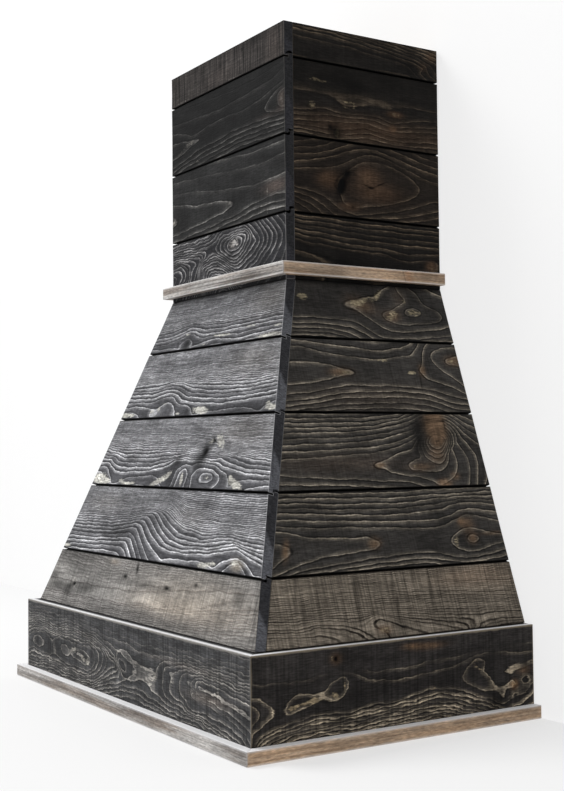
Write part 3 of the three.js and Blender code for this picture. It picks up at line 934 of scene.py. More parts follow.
FLARE_FRONT_FIGURES = (
    Figure(FLARE_FRONT_STAIN_AND_SHEEN, (
        (0, 24, 2, 25.5, 13, 29.5, 20, 33.5, 13, 35, 2),
        (1, 0, 13, 10, 14, 20, 19, 25, 24, 29, 28, 33, 26, 38, 20, 43, 17, 50, 18, 55, 18),
        (1, 55, 18, 62, 16, 70, 15, 80, 17, 90, 20, 100, 20),
        (2, 0, 20, 12, 22, 20, 26, 25, 31, 29, 34, 34, 31, 40, 25, 50, 23, 60, 23, 70, 26),
        (2, 70, 26, 84, 27, 100, 28),
        (3, 0, 27, 15, 28, 24, 36, 29, 41, 35, 37, 42, 32, 60, 30, 80, 33, 100, 35),
        (5, 0, 40, 15, 42, 29, 50, 42, 44, 60, 42, 100, 46), (13, 0, 62, 50, 62, 100, 64), DENSE_TOP,
    ), (
        soot(30, 11, 11, 8, 75), cream(59, 17, 18, 1.7, 100), cream(53, 18.5, 16, 1, 80),
        cream(78, 26, 18, 1.2, 80), cream(97, 20, 12, 1.6, 90), cream(93, 4, 32, 3.6, 100),
        cream(28.5, 29, 8, 1.8, 80), cream(2, 68, 10, 4, 40), tan(90, 70, 60, 26, 35),
        soot(88, 60, 60, 20, 12), fade(50, 78, 300, 30, 45), cream(45, 4, 12, 1.4, 60), FLARE_TOP_COLLAR_SHADOW,
        fade(29, 10, 18, 12, 75), fade(10, 16, 60, 18, 50),
    ), tone=0.836, seed=31),
    Figure(FLARE_FRONT_STAIN_AND_SHEEN, (
        (0, 0, 17, 8, 18, 15, 16, 22, 13, 24.5, 8, 21, 3),
        (0, 25, 3, 26, 14, 30, 20, 34, 20, 37.5, 13, 38.5, 3),
        (1, 0, 25, 10, 23, 20, 23, 24, 27, 30, 30, 34, 29, 36.5, 23, 39, 18, 44, 17, 47, 14, 50, 7, 51, 2),
        (1, 92, 2, 94, 8, 100, 13),
        (2, 0, 31, 12, 29, 21, 30, 28, 35, 33, 36, 37, 31, 41, 25, 47, 20, 55, 17, 68, 15, 80, 17, 90, 20,
         100, 22),
        (3, 0, 37, 15, 35, 27, 40, 34, 40, 38, 36, 43, 30, 50, 26, 60, 23, 75, 22, 88, 25, 100, 28),
        (4, 0, 42, 15, 40, 28, 45, 35, 45, 40, 40, 47, 33, 60, 29, 80, 28, 100, 33),
        (5, 0, 46, 15, 45, 30, 49, 36, 50, 42, 44, 50, 38, 60, 34, 80, 33, 100, 38),
        (6, 0, 51, 30, 54, 50, 44, 80, 38, 100, 43), (10, 0, 60, 50, 56, 100, 53), DENSE_TOP,
    ), (
        soot(32, 8, 22, 12, 12), cream(26.5, 13, 5, 4, 70, 60), cream(30, 20, 10, 2, 50),
        cream(55, 8, 19, 5, 100), cream(58, 5, 10, 3, 90), cream(98, 6, 14, 4, 95), cream(96, 12, 5, 3, 80),
        cream(2, 6, 17, 4, 100), cream(8, 5, 8, 2.4, 80), cream(41, 4, 8, 1.8, 80), cream(22, 9, 7, 4, 70),
        soot(78, 7, 90, 7, 35), soot(46, 6, 14, 6, 40), fade(50, 80, 400, 30, 45), tan(85, 75, 90, 26, 30),
    ), tone=1.045, seed=32),
    Figure(FLARE_FRONT_STAIN_AND_SHEEN, (
        (1, 0, 27, 4, 27, 7, 23, 10, 13, 12, 7, 13, 2),
        (2, 0, 34, 5, 33, 9, 28, 12, 22, 17, 19, 30, 21, 40, 25, 46, 31, 50, 39),
        (3, 0, 40, 6, 38, 10, 32, 14, 28, 20, 26, 35, 28, 43, 33, 48, 40),
        (4, 0, 44, 8, 42, 13, 35, 20, 33, 35, 34, 45, 39), (5, 0, 49, 10, 46, 16, 40, 30, 40, 46, 43, 52, 46),
        (6, 0, 54, 16, 46, 30, 46, 50, 50), (0, 52.5, 3, 53.5, 22, 56, 27, 58.5, 20, 58, 3),
        (1, 50.5, 3, 51.5, 24, 56, 33, 60, 29, 59.5, 14, 60, 3),
        (0, 61, 3, 60.5, 18, 64, 27, 70, 27, 75, 19, 76, 10, 73, 3),
        (-1, 66, 14, 67, 21, 71, 21, 72.5, 15, 71, 10, 67.5, 9, 66, 14),
        (1, 62, 33, 66, 34, 71, 33, 76, 25, 79, 20, 80, 12, 81, 3),
        (2, 55, 39, 60, 37, 66, 38, 72, 36, 78, 29, 85, 24, 92, 21, 100, 19),
        (3, 74, 41, 80, 34, 88, 28, 100, 25), (4, 78, 43, 88, 34, 100, 30), (5, 82, 45, 100, 36),
        (10, 0, 64, 50, 60, 100, 50), DENSE_TOP,
    ), (
        cream(3, 10, 26, 8, 100), cream(8, 5, 20, 3.4, 100), cream(19, 7, 9, 3, 80),
        cream(23, 3, 14, 2.2, 100), cream(27, 4, 8, 2, 90), cream(43, 9, 26, 4.6, 100, 20),
        cream(47, 17, 10, 3, 80, 40), soot(50, 14, 12, 26, 50), soot(51, 40, 12, 9, 50),
        soot(63, 38, 15, 14, 72, 60), soot(66, 53, 13, 11, 85, 45), soot(69, 66, 4, 5, 80, 50),
        cream(67.5, 64, 7, 3, 90, 20), cream(72.6, 65, 15, 9, 80, -35), soot(70.6, 64, 8, 1.2, 60, -20),
        soot(72.4, 66, 9, 1.2, 60, -20), soot(74.2, 67, 8, 1.2, 60, -20), soot(76.5, 60, 9, 5, 50),
        cream(55.5, 12, 4, 9, 100, 8), cream(69, 15, 7, 4, 50), cream(84, 8, 18, 6, 100, -16),
        cream(82, 14, 8, 3, 90, -40), soot(87, 82, 16, 10, 30), soot(32, 9, 40, 8, 30),
        fade(40, 80, 420, 30, 45), tan(85, 80, 90, 24, 30),
    ), tone=1.129, stretch=1.8, seed=33),
    Figure(FLARE_FRONT_STAIN_AND_SHEEN, (
        (1, 0, 6, 5, 9, 15, 10, 26, 12, 33, 13, 36, 8, 37.5, 2), (0, 12, 2, 22, 5, 32, 4, 34, 1),
        (2, 0, 14, 10, 15, 20, 17, 31, 20, 35, 21, 37.5, 13, 40, 3),
        (3, 0, 20, 15, 21, 28, 24, 34, 27, 37, 26, 40, 14, 42.5, 4),
        (4, 0, 26, 20, 27, 31, 31, 36, 34, 39, 28, 42, 17, 45, 4),
        (5, 36, 42, 38.5, 41, 43, 25, 46, 14, 49, 3), (6, 38, 48, 40.5, 47, 46, 28, 51, 14, 56, 4),
        (7, 39.5, 54, 42, 52, 48, 33, 54, 20, 59, 16, 68, 16, 76, 18, 82, 23, 89, 28, 94, 22, 100, 14),
        (8, 41.5, 59, 44, 57, 50, 38, 56, 25, 62, 20, 75, 22, 88, 32, 94, 27, 100, 20),
        (9, 43.5, 63, 46, 61, 52, 43, 58, 30, 66, 25, 78, 27, 88, 36, 100, 26),
        (10, 45.5, 66, 48, 64, 54, 47, 60, 35, 70, 30, 85, 38, 100, 31),
        (11, 48, 68, 50, 66, 56, 51, 62, 40, 72, 35, 85, 42, 100, 36),
        (12, 50.5, 69, 53, 66, 58, 55, 64, 46, 74, 41, 85, 46, 100, 41), (13, 0, 62, 20, 64, 32, 66),
        (20, 62, 66, 80, 62, 100, 62), DENSE_TOP, (6, 81, 4, 84, 13, 89, 18, 93, 14, 96, 5, 97, 1),
        (6, 58, 5, 66, 7, 74, 8, 80, 3), (5, 85, 2, 87, 10, 91, 12, 93, 4),
    ), (
        soot(33, 48, 26, 44, 50, -60), soot(25, 35, 60, 14, 25), cream(76, 5, 17, 4, 90),
        cream(80, 9, 8, 3, 80), tan(90, 11, 15, 8, 100), cream(89, 13, 10, 4, 70), cream(1.5, 5, 14, 3, 100),
        soot(86, 7, 8, 6, 60), soot(70, 4, 40, 5, 40), soot(94, 4, 10, 4, 50), fade(15, 70, 190, 34, 50),
        fade(80, 80, 200, 28, 45), tan(15, 75, 80, 20, 25), soot(10, 32, 110, 8, 20), tan(65, 65, 60, 20, 20),
    ), tone=1.149, line=2.6, stretch=1.5, seed=34),
    Figure(FLARE_FOOT_FRONT_STAIN_AND_SHEEN, (
        (1, 0, 22, 20, 22, 35, 24, 50, 27, 62, 31, 70, 34, 78, 40, 85, 46, 92, 52, 100, 57),
        (2, 0, 14, 30, 17, 50, 21, 70, 27, 85, 38, 100, 46), (3, 30, 10, 50, 15, 70, 21, 85, 30, 100, 38),
        (4, 50, 9, 70, 15, 85, 23, 100, 31), (5, 60, 5, 80, 12, 100, 20),
        (0, 0, 45, 30, 46, 50, 50, 70, 66, 85, 75, 100, 78), (-3, 0, 90, 30, 80, 60, 90, 100, 100),
    ), (
        soot(12, 92, 80, 7, 50), soot(10, 76, 80, 6, 35), soot(22, 38, 44, 9, 75), soot(6, 34, 44, 8, 60),
        soot(13, 26, 14, 16, 50), cream(14, 46, 13, 7, 60), cream(16, 40, 5, 8, 55), soot(15.4, 42, 5, 3, 60),
        soot(2, 50, 18, 6, 60), soot(41, 71, 7, 3, 100), soot(46, 86, 4, 8, 95, 20), soot(62, 64, 7, 2.4, 90),
        soot(74.5, 77, 5, 3, 90), cream(43, 70, 16, 8, 30), soot(54, 62, 60, 5, 40), soot(20, 66, 34, 12, 30),
        tan(76, 52, 170, 34, 60), tan(33, 92, 16, 4, 60), soot(92, 72, 14, 6, 45), soot(60, 12, 110, 9, 25),
        cream(25, 20, 60, 5, 35), soot(99, 50, 4, 60, 35), tan(60, 35, 120, 12, 30),
    ), tone=1.27, line=2.2, wobble=0.8, thicket=2.0, seed=35),
)

FLARE_SIDE_FIGURES = (
    Figure(FLARE_SIDE_STAIN, (
        (1, 6, 34, 15, 35, 25, 35, 35, 34, 42, 30, 47, 22, 52, 12, 56, 5, 62, 3, 70, 4, 80, 6, 90, 9, 100,
         14), (2, 6, 24, 20, 25, 33, 24, 40, 20, 45, 13, 49, 6, 52, 0),
        (3, 6, 16, 20, 17, 32, 15, 38, 11, 43, 4, 45, 0), (4, 6, 9, 20, 10, 30, 8, 36, 4, 39, 0),
        (5, 6, 2, 20, 4, 28, 1), (2, 82, 0, 100, 3),
        (0, 100, 31, 93, 25, 85, 21, 75, 18, 65, 16, 60, 19, 55, 28, 50, 38, 45, 48, 40, 58, 36, 64, 42, 68,
         48, 76, 53, 76, 57, 82, 59, 91, 65, 100),
        (-1, 59, 44, 62, 36, 67, 32, 75, 30, 85, 34, 92, 37, 95.5, 44, 96, 52, 93, 60, 88, 66, 85, 70, 83.5,
         80, 82, 90, 78, 97), (-1, 59, 44, 60, 51, 65, 55, 69, 63, 73, 70, 74, 76, 72, 84, 70, 92, 69, 99),
        (-2, 73, 50, 76, 47, 81, 48, 83, 53, 81, 59, 77, 61, 74, 57, 73, 50), (0, 88, 100, 94, 92, 100, 86),
        (0.6, 6, 60, 20, 62, 6, 96, 24, 96, 34, 84),
    ), (
        tan(45, 62, 26, 12, 60, -16), cream(42, 64, 13, 6, 62), cream(48, 72, 14, 5, 50, 20),
        cream(56, 80, 14, 5, 62, 50), cream(8.5, 72, 6, 4, 70), cream(11.5, 70, 6, 5, 62),
        cream(64, 45, 12, 7, 62, 30), tan(64, 44, 14, 9, 60), cream(78.5, 53, 15, 6, 66),
        soot(80, 80, 22, 20, 35), soot(22, 62, 60, 22, 20), soot(58, 66, 16, 12, 30), tan(70, 80, 14, 20, 25),
        cream(73, 73, 5, 6, 40), FLARE_TOP_COLLAR_SHADOW,
    ), stretch=1.6, seed=41),
    Figure(FLARE_SIDE_STAIN, (
        (0, 6, 66, 12, 66, 18, 67, 24, 65, 29, 61, 33, 57, 37, 55, 40, 53, 35, 51, 30, 48, 25, 44, 18, 40,
         12, 38, 6, 35),
        (1, 6, 87, 12, 87, 18, 84, 24, 80, 32, 77, 40, 75, 50, 73, 58, 75, 65, 78, 71, 80, 74, 86, 77, 96),
        (2, 6, 96, 15, 95, 25, 92, 35, 90, 45, 87, 53, 86, 60, 88, 68, 92, 73, 99),
        (1, 6, 23, 15, 26, 25, 31, 36, 37, 45, 37, 55, 37, 65, 36, 74, 35, 80, 33, 88, 27, 94, 22, 100, 19),
        (2, 6, 14, 15, 17, 25, 22, 36, 27, 50, 29, 65, 29, 75, 28, 82, 23, 90, 14, 100, 11),
        (3, 6, 7, 20, 13, 36, 20, 50, 21, 65, 21, 76, 20, 84, 13, 90, 6, 100, 4),
        (4, 6, 1, 20, 6, 36, 11, 50, 13, 65, 13, 77, 11, 84, 4), (5, 20, 0, 36, 4, 50, 6, 65, 5, 78, 2),
        (0, 82, 98, 79.5, 88, 78.5, 76, 77.5, 66, 75.5, 61, 77.5, 54, 80, 48, 86, 43, 93, 36, 100, 27),
        (-1, 100, 94, 94, 94, 88, 91, 84, 85, 83.5, 78, 86, 68, 89, 60, 94, 52, 98, 43, 100, 38),
        (-2, 100, 68, 94, 70, 91, 74, 95, 78, 100, 81), (0.5, 46, 55, 55, 56, 65, 57, 72, 56),
    ), (
        tan(32, 55, 17, 6, 80), cream(35, 54, 13, 3.4, 55), cream(28, 49, 10, 3, 40),
        cream(71, 56, 8, 2.6, 80), tan(77, 60, 6, 9, 85), tan(97, 75, 16, 8, 80), cream(96, 74, 10, 5, 50),
        soot(55, 58, 70, 14, 20), soot(75.3, 42, 1.3, 12, 70), tan(45, 20, 160, 24, 20),
        cream(50, 73, 20, 2.4, 40), cream(56, 73, 8, 3, 40),
    ), tone=1.145, stretch=1.8, seed=42),
    Figure(FLARE_SIDE_STAIN, (
        (1, 5, 39, 15, 41, 25, 42, 35, 44, 45, 46, 53, 50, 60, 56, 65, 61),
        (2, 5, 49, 20, 50, 35, 52, 45, 54, 55, 59, 62, 65, 67, 71),
        (3, 5, 57, 20, 59, 35, 60, 45, 62, 52, 66, 60, 72, 67, 79),
        (4, 5, 65, 20, 66, 35, 67, 45, 69, 55, 74, 63, 80, 67, 85),
        (5, 5, 73, 30, 74, 45, 77, 55, 81, 66, 89), (6, 5, 80, 30, 80, 48, 83, 64, 93),
        (7, 5, 86, 40, 87, 60, 93), (8, 5, 92, 40, 93, 56, 98),
        (0, 65, 51, 60, 47, 56, 42, 51, 36, 46.5, 30, 50, 27, 54, 21, 60, 17, 66, 14, 72, 9, 76, 2, 80, 8,
         83, 13, 85, 20, 86, 30, 86, 40, 85, 52),
        (-1, 69, 42, 66, 37, 62.5, 30, 64, 24, 70, 21, 77, 21, 80, 26, 82, 34, 82.5, 44),
        (-2, 71, 42, 74, 34, 77, 30, 80, 36, 81, 42), (-3, 72, 49, 74.5, 41, 77, 38, 80, 43, 81.5, 49),
        (-4, 73, 56, 75, 48, 77.5, 45, 80, 49, 82, 56), (-5, 74, 60, 76, 54, 78, 52, 80.5, 56, 82, 61),
        (1, 5, 20, 12, 17, 20, 16, 30, 14, 40, 12, 50, 10, 60, 8, 66, 4, 70, 0),
        (2, 5, 8, 20, 7, 35, 5, 50, 1), (1, 88, 62, 90, 50, 92, 38, 92, 25, 91, 12, 90, 2),
        (2, 91, 67, 94, 55, 96.5, 42, 96.5, 28, 95, 12, 94, 2), (3, 93, 73, 96, 64, 100, 55),
        (3, 98, 2, 100, 14), (4, 94, 80, 98, 72, 100, 69), (5, 94, 88, 100, 80), (6, 94, 96, 100, 90),
        (0.4, 10, 28, 30, 28, 42, 29),
    ), (
        tan(78, 84, 17, 16, 100), tan(79, 70, 14, 14, 90), tan(79, 94, 15, 10, 70), soot(70, 78, 15, 26, 50),
        soot(69, 58, 12, 12, 40), tan(78, 4, 11, 6, 100), tan(84, 14, 8, 6, 60), tan(48.5, 30, 7, 3.4, 80),
        cream(48, 30, 5, 2.4, 50), tan(68, 26, 18, 6, 50), cream(65, 28, 9, 3, 40), soot(82, 90, 12, 1.2, 95),
        soot(83.5, 83, 1.3, 8, 80, 10), fade(78, 84, 22, 22, 100), fade(69, 72, 15, 34, 90),
        soot(75.5, 92, 8, 1, 70), tan(77, 44, 14, 14, 50), soot(88, 74, 10, 8, 40), tan(30, 34, 120, 16, 25),
    ), tone=1.113, stretch=1.4, seed=43),
    Figure(FLARE_SIDE_STAIN, (
        (1, 4, 59, 10, 57, 20, 55, 30, 54, 40, 53, 50, 51, 57, 49, 65, 48, 72, 49, 77, 53, 81, 59, 85, 62,
         90, 61, 95, 57, 100, 53),
        (2, 4, 67, 15, 65, 30, 62, 45, 60, 60, 58, 72, 59, 78, 63, 84, 70, 90, 70, 100, 65),
        (3, 4, 75, 20, 72, 40, 68, 55, 67, 65, 69, 74, 72, 82, 79, 92, 78, 100, 75),
        (4, 4, 81, 20, 78, 40, 75, 60, 75, 74, 79, 84, 84, 100, 81),
        (5, 4, 87, 30, 83, 60, 82, 80, 88, 100, 87), (6, 4, 93, 50, 89, 100, 93),
        (7, 0, 99, 50, 96, 100, 100),
        (0, 4, 53, 10, 50, 15, 46, 19, 43, 25, 42, 30, 41, 35, 40, 40, 41, 43, 37, 45.5, 31, 43, 26, 37, 24,
         30, 22, 22, 19, 15, 13, 10, 8, 5, 1), (-1, 4, 38, 7, 36, 9.5, 31, 9.5, 26, 8, 21, 5, 14, 4, 11),
        (1, 8, 0, 15, 5, 22, 8, 30, 11, 40, 14, 50, 16, 58, 18.5, 65, 18, 72, 14, 77, 10, 82, 8, 88, 8, 94,
         11, 100, 15), (2, 16, 0, 25, 3, 35, 6, 45, 8, 58, 11, 66, 10, 74, 5, 82, 2, 90, 2, 100, 7),
        (3, 30, 0, 45, 3, 58, 5, 66, 4, 72, 0),
        (0, 100, 25, 93, 20, 86, 15, 81, 17, 77.5, 23, 76.5, 31, 78.5, 38, 82, 43, 86, 46, 90, 43, 95, 37,
         100, 34), (0.5, 50, 33, 60, 33, 70, 32), (-1, 84, 32, 86, 36, 88.5, 32, 86, 28, 84, 32),
    ), (
        tan(84.5, 50, 14, 12, 60), tan(82, 55, 5, 4, 70), tan(86, 31, 8, 7, 80), cream(78.5, 28, 5, 13, 50),
        tan(43.5, 33, 10, 8, 80), cream(43, 35, 9, 4, 40), tan(8.5, 30, 5, 13, 85), cream(8, 33, 3, 8, 35),
        soot(60, 33, 80, 14, 20), soot(84, 47, 5, 3, 50), tan(96, 37, 22, 3, 60), cream(28, 41, 50, 1.2, 40),
        soot(86, 68, 40, 12, 20),
    ), tone=1.06, stretch=2.0, seed=44),
    Figure(FLARE_FOOT_SIDE_STAIN, (
        (11, 4, 94, 40, 90, 70, 85, 100, 79), (6, 4, 67, 20, 66, 40, 60, 60, 54, 80, 47, 100, 40),
        (3, 4, 45, 20, 42, 40, 40, 55, 32, 75, 20, 100, 12),
        (2, 24, 34, 34, 28, 42, 36, 50, 27, 60, 18, 70, 7, 74, 1),
        (1, 4, 26, 14, 24, 22, 27, 30, 22, 36, 14, 40, 1), (1.5, 22, 31, 32, 26, 40, 15, 45, 2),
        (0, 4, 17, 14, 15, 20, 14, 26, 8, 29, 1), (-1, 4, 9, 12, 7, 17, 1),
        (1, 43, 22, 47, 19, 49, 13, 47, 5), (4, 86, 1, 100, 2),
    ), (
        cream(45, 13, 8, 4, 70), tan(45, 13, 12, 6, 80), soot(12.5, 78, 2.2, 18, 50, 8),
        soot(16, 40, 2.2, 22, 40, 10), soot(21, 62, 2, 34, 35, 8), soot(34.5, 75, 2.2, 26, 60, 4),
        soot(36, 40, 2.2, 26, 45, 5), soot(49, 75, 2.4, 22, 60, 3), soot(50.5, 45, 2.4, 18, 60),
        soot(64, 60, 2, 40, 45, 2), soot(28, 80, 1.6, 20, 25), soot(42, 80, 1.6, 20, 25),
        soot(57, 80, 1.8, 20, 30), tan(90, 78, 90, 20, 35), tan(75, 85, 60, 12, 20), soot(99, 60, 8, 60, 30),
        soot(70, 25, 100, 12, 25),
    ), tone=1.12, line=8.0, wobble=0.6, stretch=1.8, thicket=2.5, seed=45),
)

APRON_FRONT_FIGURE = Figure(APRON_FRONT_STAIN, (
    (0, 24, 50, 27, 56, 31, 54, 34.5, 50, 35, 44, 33, 39, 29, 41, 24, 50),
    (0, 6, 42, 9, 45, 8.5, 52, 6, 57, 3, 52, 4, 44, 6, 42), (0.5, 12, 62, 15, 52, 17, 42, 13, 36),
    (-0.55, 28, 50, 31.5, 47), (4.45, 48.5, 53, 51, 47),
    (1, 8, 66, 16, 64, 24, 66, 32, 65, 36, 65, 39, 60, 39.5, 50, 38, 38, 34, 29, 28, 28, 20, 31, 12, 33, 4,
     34, 0, 28),
    (2, 8, 71, 18, 68, 26, 74, 34, 70, 41, 66, 43, 58, 43, 46, 41, 37, 37, 28, 31, 22, 22, 25, 12, 27, 0, 22),
    (3, 28, 79, 40, 71, 46, 58, 49, 50, 47.5, 43, 45, 38, 42, 30, 36, 20, 26, 17, 12, 20, 0, 15),
    (4, 44, 74, 50, 64, 56, 58, 56.5, 48, 57, 40, 52, 37, 47, 30, 40, 20, 32, 10, 20, 10, 0, 8),
    (5, 52, 26, 46, 20, 40, 10, 34, 3, 10, 2),
    (4, 64, 59, 66, 57, 64, 46, 62.5, 38, 66, 34, 69, 27, 76, 25, 82, 22, 90, 15, 95, 6, 97, 1),
    (3, 71, 62, 73, 60, 71, 48, 71, 38, 76, 34, 79, 27, 86, 25, 93, 20, 99, 8),
    (2, 78, 60, 80, 57, 79, 46, 84, 40, 92, 36, 97, 27, 100, 18), (1, 82, 56, 86, 52, 92, 48, 100, 40),
    (5, 57, 26, 64, 22, 70, 17, 80, 15, 88, 8, 92, 1), (6, 46, 8, 60, 14, 70, 10, 80, 6, 85, 1),
    (5, 0, 88, 30, 92, 60, 82, 100, 82), (6, 0, 100, 50, 100, 100, 96),
), (
    cream(26, 52, 11, 5, 62, 12), cream(31, 46, 20, 5, 60, -16), cream(34, 44, 6, 6, 50),
    cream(55.5, 50, 5, 12, 42), cream(65, 53, 8, 7, 50), cream(72, 52, 6, 10, 45), cream(80, 50, 5, 6, 45),
    tan(86, 46, 60, 8, 50), cream(4, 49, 10, 5, 40), soot(60, 48, 20, 20, 40), soot(16, 45, 50, 14, 20),
    soot(38, 14, 3, 18, 45), soot(85, 30, 3, 26, 45), soot(70, 40, 14, 12, 20), fade(50, 95, 500, 26, 95),
    cream(89, 55, 5, 3, 60), soot(12, 48, 14, 14, 20), tan(75, 72, 120, 5, 30),
), tone=1.22, line=1.7, wobble=1.0, stretch=1.6, thicket=2.0, seed=51)

APRON_SIDE_FIGURE = Figure(APRON_SIDE_STAIN, (
    (1, 0, 8, 3, 22, 8, 29, 14, 33, 20, 36, 27, 35, 33, 35, 40, 38, 47, 38, 54, 42, 60, 46, 66, 43, 72, 40,
     78, 31, 83, 26), (3, 3, 15, 8, 23, 16, 27, 30, 28, 45, 31, 55, 34, 62, 36, 70, 32, 78, 24, 83, 17),
    (5, 5, 10, 12, 20, 30, 22, 45, 24, 58, 28, 68, 25, 76, 17, 83, 11),
    (0.45, 33, 50, 39, 46, 48, 48, 58, 52, 68, 54), (7, 8, 8, 20, 15, 35, 15, 50, 18, 62, 21, 72, 15, 82, 5),
    (9, 10, 4, 30, 9, 50, 12, 62, 14, 74, 7, 79, 1), (11, 15, 0, 40, 4, 60, 7, 72, 1),
    (0, 0, 60, 3, 58, 6, 51, 7, 44, 5, 37, 2, 30, 0, 24), (-1, 0, 53, 2.5, 47, 2.8, 40, 0, 33),
    (0, 11, 44, 12, 53, 15, 58, 19, 56, 22, 56, 21, 48, 17, 45, 13, 41, 11, 44),
    (0, 23, 56, 27, 68, 30.5, 71, 31, 60, 28.5, 49, 25, 50, 23, 56),
    (1, 6, 72, 18, 70, 27, 77, 33, 72, 37, 65, 40, 61, 50, 60, 60, 62, 68, 65, 73, 70, 80, 75, 88, 74, 100,
     70), (2, 10, 79, 27, 82, 40, 70, 55, 72, 70, 76, 85, 80), (3, 10, 88, 22, 90, 40, 80, 60, 84, 80, 88),
    (0, 75, 66, 77, 71, 81, 67, 79.5, 60, 82, 50, 85, 36, 88, 26),
    (0, 88, 52, 91, 55, 94, 54, 97, 58, 100, 62), (1, 96, 46, 92, 32, 90, 22, 96, 26, 100, 38),
    (0, 90, 38, 92, 42, 93.5, 38, 92, 34, 90, 38), (2, 88, 12, 94, 16, 100, 28), (3, 90, 3, 100, 16),
    (0.45, 84, 66, 86, 58, 88, 47), (-0.5, 14, 48, 18, 52), (-0.5, 26.6, 62, 28.6, 56),
), (
    cream(16, 48, 26, 2.4, 62, 6), cream(13, 44, 5, 4, 50), cream(20, 51, 8, 4, 55),
    cream(27, 52, 8, 4, 60, -30), cream(30, 62, 2, 12, 50), tan(60, 90, 26, 5, 45), tan(53, 92, 14, 4, 40),
    fade(20, 80, 160, 16, 55), fade(72, 84, 200, 13, 55), tan(62, 8, 22, 8, 50),
    cream(78, 60, 12, 3, 50, -30), cream(77, 68, 8, 3, 40), tan(92, 38, 7, 6, 90), cream(92, 39, 5, 3, 50),
    soot(85, 18, 14, 18, 75), soot(45, 52, 120, 12, 30), cream(90, 54, 14, 2, 40), tan(96, 52, 14, 6, 40),
    fade(96, 56, 26, 8, 50), soot(70, 7, 8, 6, 60), fade(50, 96, 500, 26, 90), cream(26, 89, 1.6, 4, 60),
    cream(28.6, 88, 1.4, 4, 50), tan(27.3, 88, 9, 7, 50), soot(27.3, 88, 2.4, 3.4, 90),
    cream(61, 46, 8, 2, 50), soot(27, 88, 4, 3, 60),
), tone=1.72, line=2.1, wobble=0.9, stretch=1.6, seed=52)

TRIM_FRONT_FIGURE = Figure(TRIM_FRONT_WASH, seed=61)
TRIM_SIDE_FIGURE = Figure(TRIM_SIDE_WASH, tone=1.05, seed=62)
COLLAR_FRONT_FIGURE = Figure(TRIM_FRONT_WASH, marks=(
    soot(75, 30, 110, 1.3, 80, -1), soot(72, 55, 100, 1.2, 80, -1), soot(60, 14, 80, 1, 70, -1),
    soot(88, 70, 50, 1, 60),
), tone=1.06, seed=63)
COLLAR_SIDE_FIGURE = Figure(TRIM_SIDE_WASH, marks=(
    tan(76, 50, 6, 24, 50, 20), soot(73, 50, 1, 20, 50, 20), soot(90, 60, 20, 4, 30),
), tone=0.83, seed=64)


# ---- boards


class Facing(Enum):
    """Which way a face looks. Its value is the run of its boards, from the left as seen from outside."""

    FRONT = (1.0, 0.0, 0.0)
    RIGHT = (0.0, 1.0, 0.0)
    LEFT = (0.0, -1.0, 0.0)


